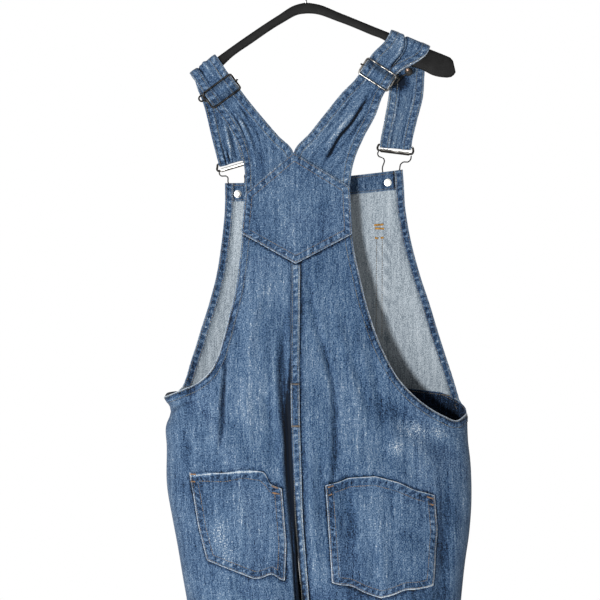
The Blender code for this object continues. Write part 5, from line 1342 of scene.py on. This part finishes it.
for half, side in HALVES:
    x, z, tilt = STRAPS[half]["slide"]
    at = local((x, SLIDE_Y, z), tilt)
    outline, wire = at(rounded_rectangle(*SLIDE_HALF, SLIDE_CORNER)), BLACK_WIRE if half == LEFT else HIGHLIT_WIRE
    settle(tube("slide_frame_" + side, outline, SLIDE_SHOWN, wire, closed=True), "blackened_wire", "slide_" + side)
    reach = SLIDE_HALF[0]
    turn = np.radians(np.arange(200, -1, -20))
    bar = [(-half * (reach + CURL * np.sin(t)), 0, -CURL * np.cos(t)) for t in turn]
    bar += [(-half * (reach - inwards), 0, rise) for inwards, rise in BAR_BEND]
    bar += [(half * (reach - inwards), 0, rise) for inwards, rise in BAR_BEND[::-1]]
    bar.append((half * reach, 0, -CURL - 0.1))
    eye_a, eye_b, eye_radius = EYES[half]
    bar += [(eye_a + half * eye_radius * np.cos(t), eye_b + eye_radius * np.sin(t), -CURL - 0.1)
            for t in np.radians(np.arange(-90, 211, 30))]
    bar_wire = tube("slide_bar_wire_" + side, even_path(at(bar), 160), BAR_WIRE, BLACK_WIRE)
    settle(bar_wire, "blackened_wire", "slide_bar_" + side)

# ======== Buckles ========
# Each buckle hangs in the strap's loop: a wire bar with two side arms, a thicker nickel-plated tube across its
# foot, and a springy bottle-shaped wire that hooks over the button's shank.
BUCKLE_HALF, BUTTON_WIRE, BUCKLE_SHOWN = 24, 0.9, 1.5
LOWER_BAR_RADIUS, LOWER_BAR_HALF = 2.8, 19.6
# a side arm's wire from the lower bar out, and then in again along the upper bar: across, along, out
ARM_FOOT = np.array([(LOWER_BAR_HALF + 0.4, 0, 0), (BUCKLE_HALF, 0.3, 0), (BUCKLE_HALF + 1.2, 2.5, 0)])
ARM_HEAD = np.array([(BUCKLE_HALF + 1, -2.5, 0), (BUCKLE_HALF, 0, 0), (BUCKLE_HALF - 6, 0, 0)])
# half of the hook's outline: across and down from the lower bar, then across and up from the button, and its tip
HOOK_SHOULDERS = ((23.4, 2.6), (23.6, 6), (21.5, 9.5), (14, 11.5), (12, 14))
HOOK_THROAT = ((12, 18), (9, 10), (4.9, 4), (4.9, -1.5), (3.4, -4.6))
HOOK_END = 5.7
for half, side in HALVES:
    spec = STRAPS[half]
    bar_x, bar_y, bar_z, bar_tilt = spec["buckle_bar"]
    low_x, low_y, low_z, low_tilt = spec["lower_bar"]
    top, low = local((bar_x, bar_y, bar_z), bar_tilt), local((low_x, low_y, low_z), low_tilt)
    left_arm, right_arm = (np.vstack([low(ARM_FOOT * mirror), top(ARM_HEAD * mirror)])
                           for mirror in ((-1, 1, 1), (1, 1, 1)))
    path = np.vstack([even_path(left_arm, 40), even_path(right_arm[::-1], 40)])
    settle(tube("buckle_wire_" + side, path, BUCKLE_SHOWN, BLACK_WIRE), "blackened_wire", "buckle_frame_" + side)
    tube_line = low(np.linspace(-LOWER_BAR_HALF, LOWER_BAR_HALF, 24)[:, None] * 0.97 * (1, 0, 0))
    foot = tube("buckle_tube_" + side, tube_line, LOWER_BAR_RADIUS, TUBE_NICKEL[half], sides=24)
    settle(foot, "silver_metal", "buckle_bar_" + side)
    button_x, button_z = spec["button"]
    drop = np.array([button_x - low_x, button_z - low_z])
    length = np.linalg.norm(drop)
    down, sideways = drop / length, np.array([-drop[1], drop[0]]) / length
    half_shape = list(HOOK_SHOULDERS) + [(a, length - b) for a, b in HOOK_THROAT]
    shape = np.array([(-a, b) for a, b in half_shape] + [(0, length + HOOK_END)] + half_shape[::-1])
    # its ends turn in the lower bar, square to it; further down it swings towards the button
    at_bar = low(np.column_stack([shape[:, 0], -shape[:, 1], 0 * shape[:, 0]]))
    swing = fade_in(shape[:, 1], 16)
    x = at_bar[:, 0] * (1 - swing) + swing * (low_x + sideways[0] * shape[:, 0] + down[0] * shape[:, 1])
    z = at_bar[:, 2] * (1 - swing) + swing * (low_z + sideways[1] * shape[:, 0] + down[1] * shape[:, 1])
    on_bib = body_y(FRONT, x, np.minimum(z, -300)) + fold_height(FRONT, x, z) + BUTTON_WIRE + 1
    y = low_y + fade_in(shape[:, 1] - 3, 12) * (on_bib - low_y)
    hook = tube("button_hook_" + side, even_path(np.stack([x, y, z], axis=1), 150), BUTTON_WIRE, BLACK_WIRE)
    settle(hook, "blackened_wire", "hook_wire_" + side)

# ======== Buttons and rivets ========
# Each buckle hooks over a shank button of stamped nickel-plated brass; its tack is hammered through the bib and
# ends in a round rivet back on the facing.
BUTTON = ((0, 0), (4.2, 0), (4.2, 0.6), (3.4, 0.9), (3.4, 4.2), (7.6, 4.2), (8.4, 4.6), (8.5, 5.2), (8.2, 6.2),
          (7.4, 6.6), (6.6, 6.3), (5.8, 6.4), (4, 7.2), (0, 7.6))
# copper end of the right slide's bar, on a blackened washer in the bar's eye
BEAD = ((0, 0), (2.0, 0), (2.7, 0.5), (2.8, 1.1), (2.4, 1.9), (1.5, 2.5), (0, 2.8))
WASHER = ((0, 0), (4.2, 0), (4.4, 0.2), (4.2, 0.5), (0, 0.5))
RIVET = ((0, 0), (5.0, 0), (5.2, 0.3), (5.0, 0.7), (4.4, 0.8), (3.9, 1.2), (3.2, 1.55), (1.6, 1.75), (0, 1.8))


def turned(name, profile, centre, axis, finish, sides=40):
    """Turned part: a profile of (radius, height) swept about an axis from centre, its poles closed by one point."""
    profile = np.array(profile, dtype=float)[::-1]
    axis = np.array(axis, dtype=float) / np.linalg.norm(axis)
    side = np.cross(axis, (0.2, 0.1, 1))
    side /= np.linalg.norm(side)
    angle = np.linspace(0, 2 * np.pi, sides, endpoint=False)[:, None]
    circle = np.cos(angle) * side + np.sin(angle) * np.cross(axis, side)
    rings = profile[1:-1, 0, None, None] * circle + (profile[1:-1, 1, None] * axis)[:, None]
    points = np.vstack([centre + rings.reshape(-1, 3), centre + axis * profile[[0, -1], 1, None]])
    corner, after, faces = ring_corners(len(rings), sides)
    top, foot = len(points) - 2, len(points) - 1
    faces += [(a, b, top) for a, b in zip(corner[0].tolist(), after[0].tolist())]
    faces += [(b, a, foot) for a, b in zip(corner[-1].tolist(), after[-1].tolist())]
    piece = new_mesh(name, points, faces, finish)
    piece.data.set_sharp_from_angle(angle=np.radians(40))
    return piece


for half, side in HALVES:
    x, z = STRAPS[half]["button"]
    spot, outward = over_body(FRONT, x, z)
    settle(turned("shank_button_" + side, BUTTON, spot + outward * 2 * GAP, outward, NICKEL),
           "silver_metal", "bib_button_" + side)
    settle(turned("rivet_back_" + side, RIVET, spot - outward * (CLOTH + OVERLAY + 3 * GAP), -outward, NICKEL),
           "silver_metal", "bib_rivet_" + side)

x, z, tilt = STRAPS[RIGHT]["slide"]
eye_a, eye_b, _ = EYES[RIGHT]
washer_at, rivet_at = local((x, SLIDE_Y, z), tilt)([(eye_a, eye_b, -CURL), (eye_a - 2.6, eye_b + 1.6, -CURL + 0.6)])
settle(turned("slide_washer", WASHER, washer_at, TO_BACK, BLACK_WIRE, sides=24), "blackened_wire")
settle(turned("slide_rivet", BEAD, rivet_at, TO_BACK, COPPER, sides=24), "blackened_wire")

# ======== Hanger ========
# A flat moulded coat hanger in matt charcoal plastic, slim in the middle and broad at the shoulders, with a
# plated steel hook that turns in a hole in its middle.
HANGER = (             # left tip to right tip: top edge x, z, height, lean of the section to the right
    (-160, -173.8, 16, 37), (-155, -170.2, 29, 37), (-143, -161.3, 30, 37), (-131, -152.5, 17, 36),
    (-117, -142.2, 13, 35), (-80, -116, 12, 34), (-40, -89.5, 12, 33), (-14, -74, 14, 20), (0, -71, 15, 0),
    (14, -72.5, 14, -12), (50, -86, 12, -21), (95, -104.2, 12, -22), (117, -113, 13, -22), (130, -118.2, 20, -22),
    (146, -124.7, 30, -22), (175, -136.4, 31, -22), (196, -144.8, 31, -13), (202.5, -147.8, 27, 3),
    (206, -152, 17, 13),
)
HOOK_WIRE, HOOK_RADIUS, HANGER_SIDES = 2.0, 20, 40
STEM = ((0, 0), (0, 20), (1.5, 26), (5, 32))
rows = np.array(HANGER, dtype=float)
run = run_along(rows[:, :2])
along = np.linspace(0, run[-1], 150)
top_x, top_z, height, lean = through(np.column_stack([run, rows]), along).T[:, :, None]
angle = np.linspace(0, 2 * np.pi, HANGER_SIDES, endpoint=False)
# a section with round edges and a shallow groove along each face, just over its lower edge
side_y = ARM_HALF * np.sign(np.cos(angle)) * np.abs(np.cos(angle)) ** 0.45
up = np.sign(np.sin(angle)) * np.abs(np.sin(angle)) ** 0.75
drop = height / 2 * (1 - up)
groove = 0.35 * bell(height - drop - 4.5, 1.3) * (height > 24)
points = np.stack([top_x + np.sin(np.radians(lean)) * drop, (side_y - groove * np.sign(side_y)) + 0 * drop,
                   top_z - np.cos(np.radians(lean)) * drop], axis=-1)
corner, _, faces = ring_corners(len(points), HANGER_SIDES)
faces += [corner[0].tolist(), corner[-1][::-1].tolist()]
# polypropylene from a sparked mould: matt, with the faint mottle of its flow
PLASTIC = matt("moulded_charcoal_plastic", ((0.35, "050505"), (0.7, "0A0A0A")),
               dict(Scale=90.0, Detail=5.0, Roughness=0.7), dict(Scale=1400.0, Detail=2.0), 0.35, 0.62, 0.04)
settle(new_mesh("hanger_moulding", points, faces, PLASTIC), "hanger_plastic", "hanger_arms")
stem = [(x, 0, -71 + GAP + rise) for x, rise in STEM]
turn = np.radians(np.arange(-55, 216, 6))
hook = np.stack([HOOK_RADIUS * np.cos(turn), 0 * turn, HOOK_WIRE - HOOK_RADIUS + HOOK_RADIUS * np.sin(turn)], axis=1)
STEEL = metal("bright_plated_steel", "9A9A9C", "68686B", 60.0, 0.26, 0.2, 0.3)
path = np.vstack([even_path(np.vstack([stem, hook[:3]]), 40)[:-4], hook[2:]])
settle(tube("hanger_hook_wire", path, HOOK_WIRE, STEEL), "hook_steel", "hanger_hook")

# ======== Studio ========
# A pale floor under the hems, a white surround, and three soft lamps: the main one beside the camera, to its left
# and a little lower, one from the far left and one from behind, so that the folds keep their shade.
CAMERA_PLACE = (-0.008, -3.2, -0.487)
FLOOR_Z = -1.76
lens = bpy.data.cameras.new("camera")
lens.lens, lens.sensor_width = 137.14, 36
camera = bpy.data.objects.new("camera", lens)
camera.location, camera.rotation_euler = CAMERA_PLACE, (np.pi / 2, 0, 0)
bpy.context.scene.collection.objects.link(camera)
bpy.context.scene.camera = camera
floor_finish, tree, shader = new_finish("pale_studio_floor")
plug(tree, shader, Base_Color=linear("F2F2F0"), Roughness=0.9)
floor = new_mesh("floor", np.array([(-4, -4, FLOOR_Z), (4, -4, FLOOR_Z), (4, 4, FLOOR_Z), (-4, 4, FLOOR_Z)]) / MM,
                 [(0, 1, 2, 3)], floor_finish)
# place, aim, size in metres and power in watts of each soft lamp
LAMPS = (("main", (-0.68, -3.1, -0.75), (0, 0, -0.5), 0.3, 330), ("left", (-2.6, -1.2, 0.6), (0, 0, -0.6), 0.7, 150),
         ("rear", (0.9, 2.4, 1.2), (0, 0, -0.6), 1.2, 190))
for name, place, aim, size, power in LAMPS:
    lamp_data = bpy.data.lights.new(name, "AREA")
    lamp_data.shape, lamp_data.size, lamp_data.energy = "DISK", size, power
    lamp = bpy.data.objects.new(name, lamp_data)
    ahead = np.array(aim) - np.array(place)
    turned_down = np.arccos(-ahead[2] / np.linalg.norm(ahead))
    lamp.location, lamp.rotation_euler = place, (turned_down, 0, np.arctan2(ahead[1], ahead[0]) - np.pi / 2)
    bpy.context.scene.collection.objects.link(lamp)
surround = bpy.data.worlds.new("white_surround")
surround.use_nodes = True
plug(surround.node_tree, surround.node_tree.nodes["Background"], Color=(1, 1, 1, 1), Strength=1.0)
bpy.context.scene.world = surround
bpy.context.scene.view_settings.view_transform = "Standard"
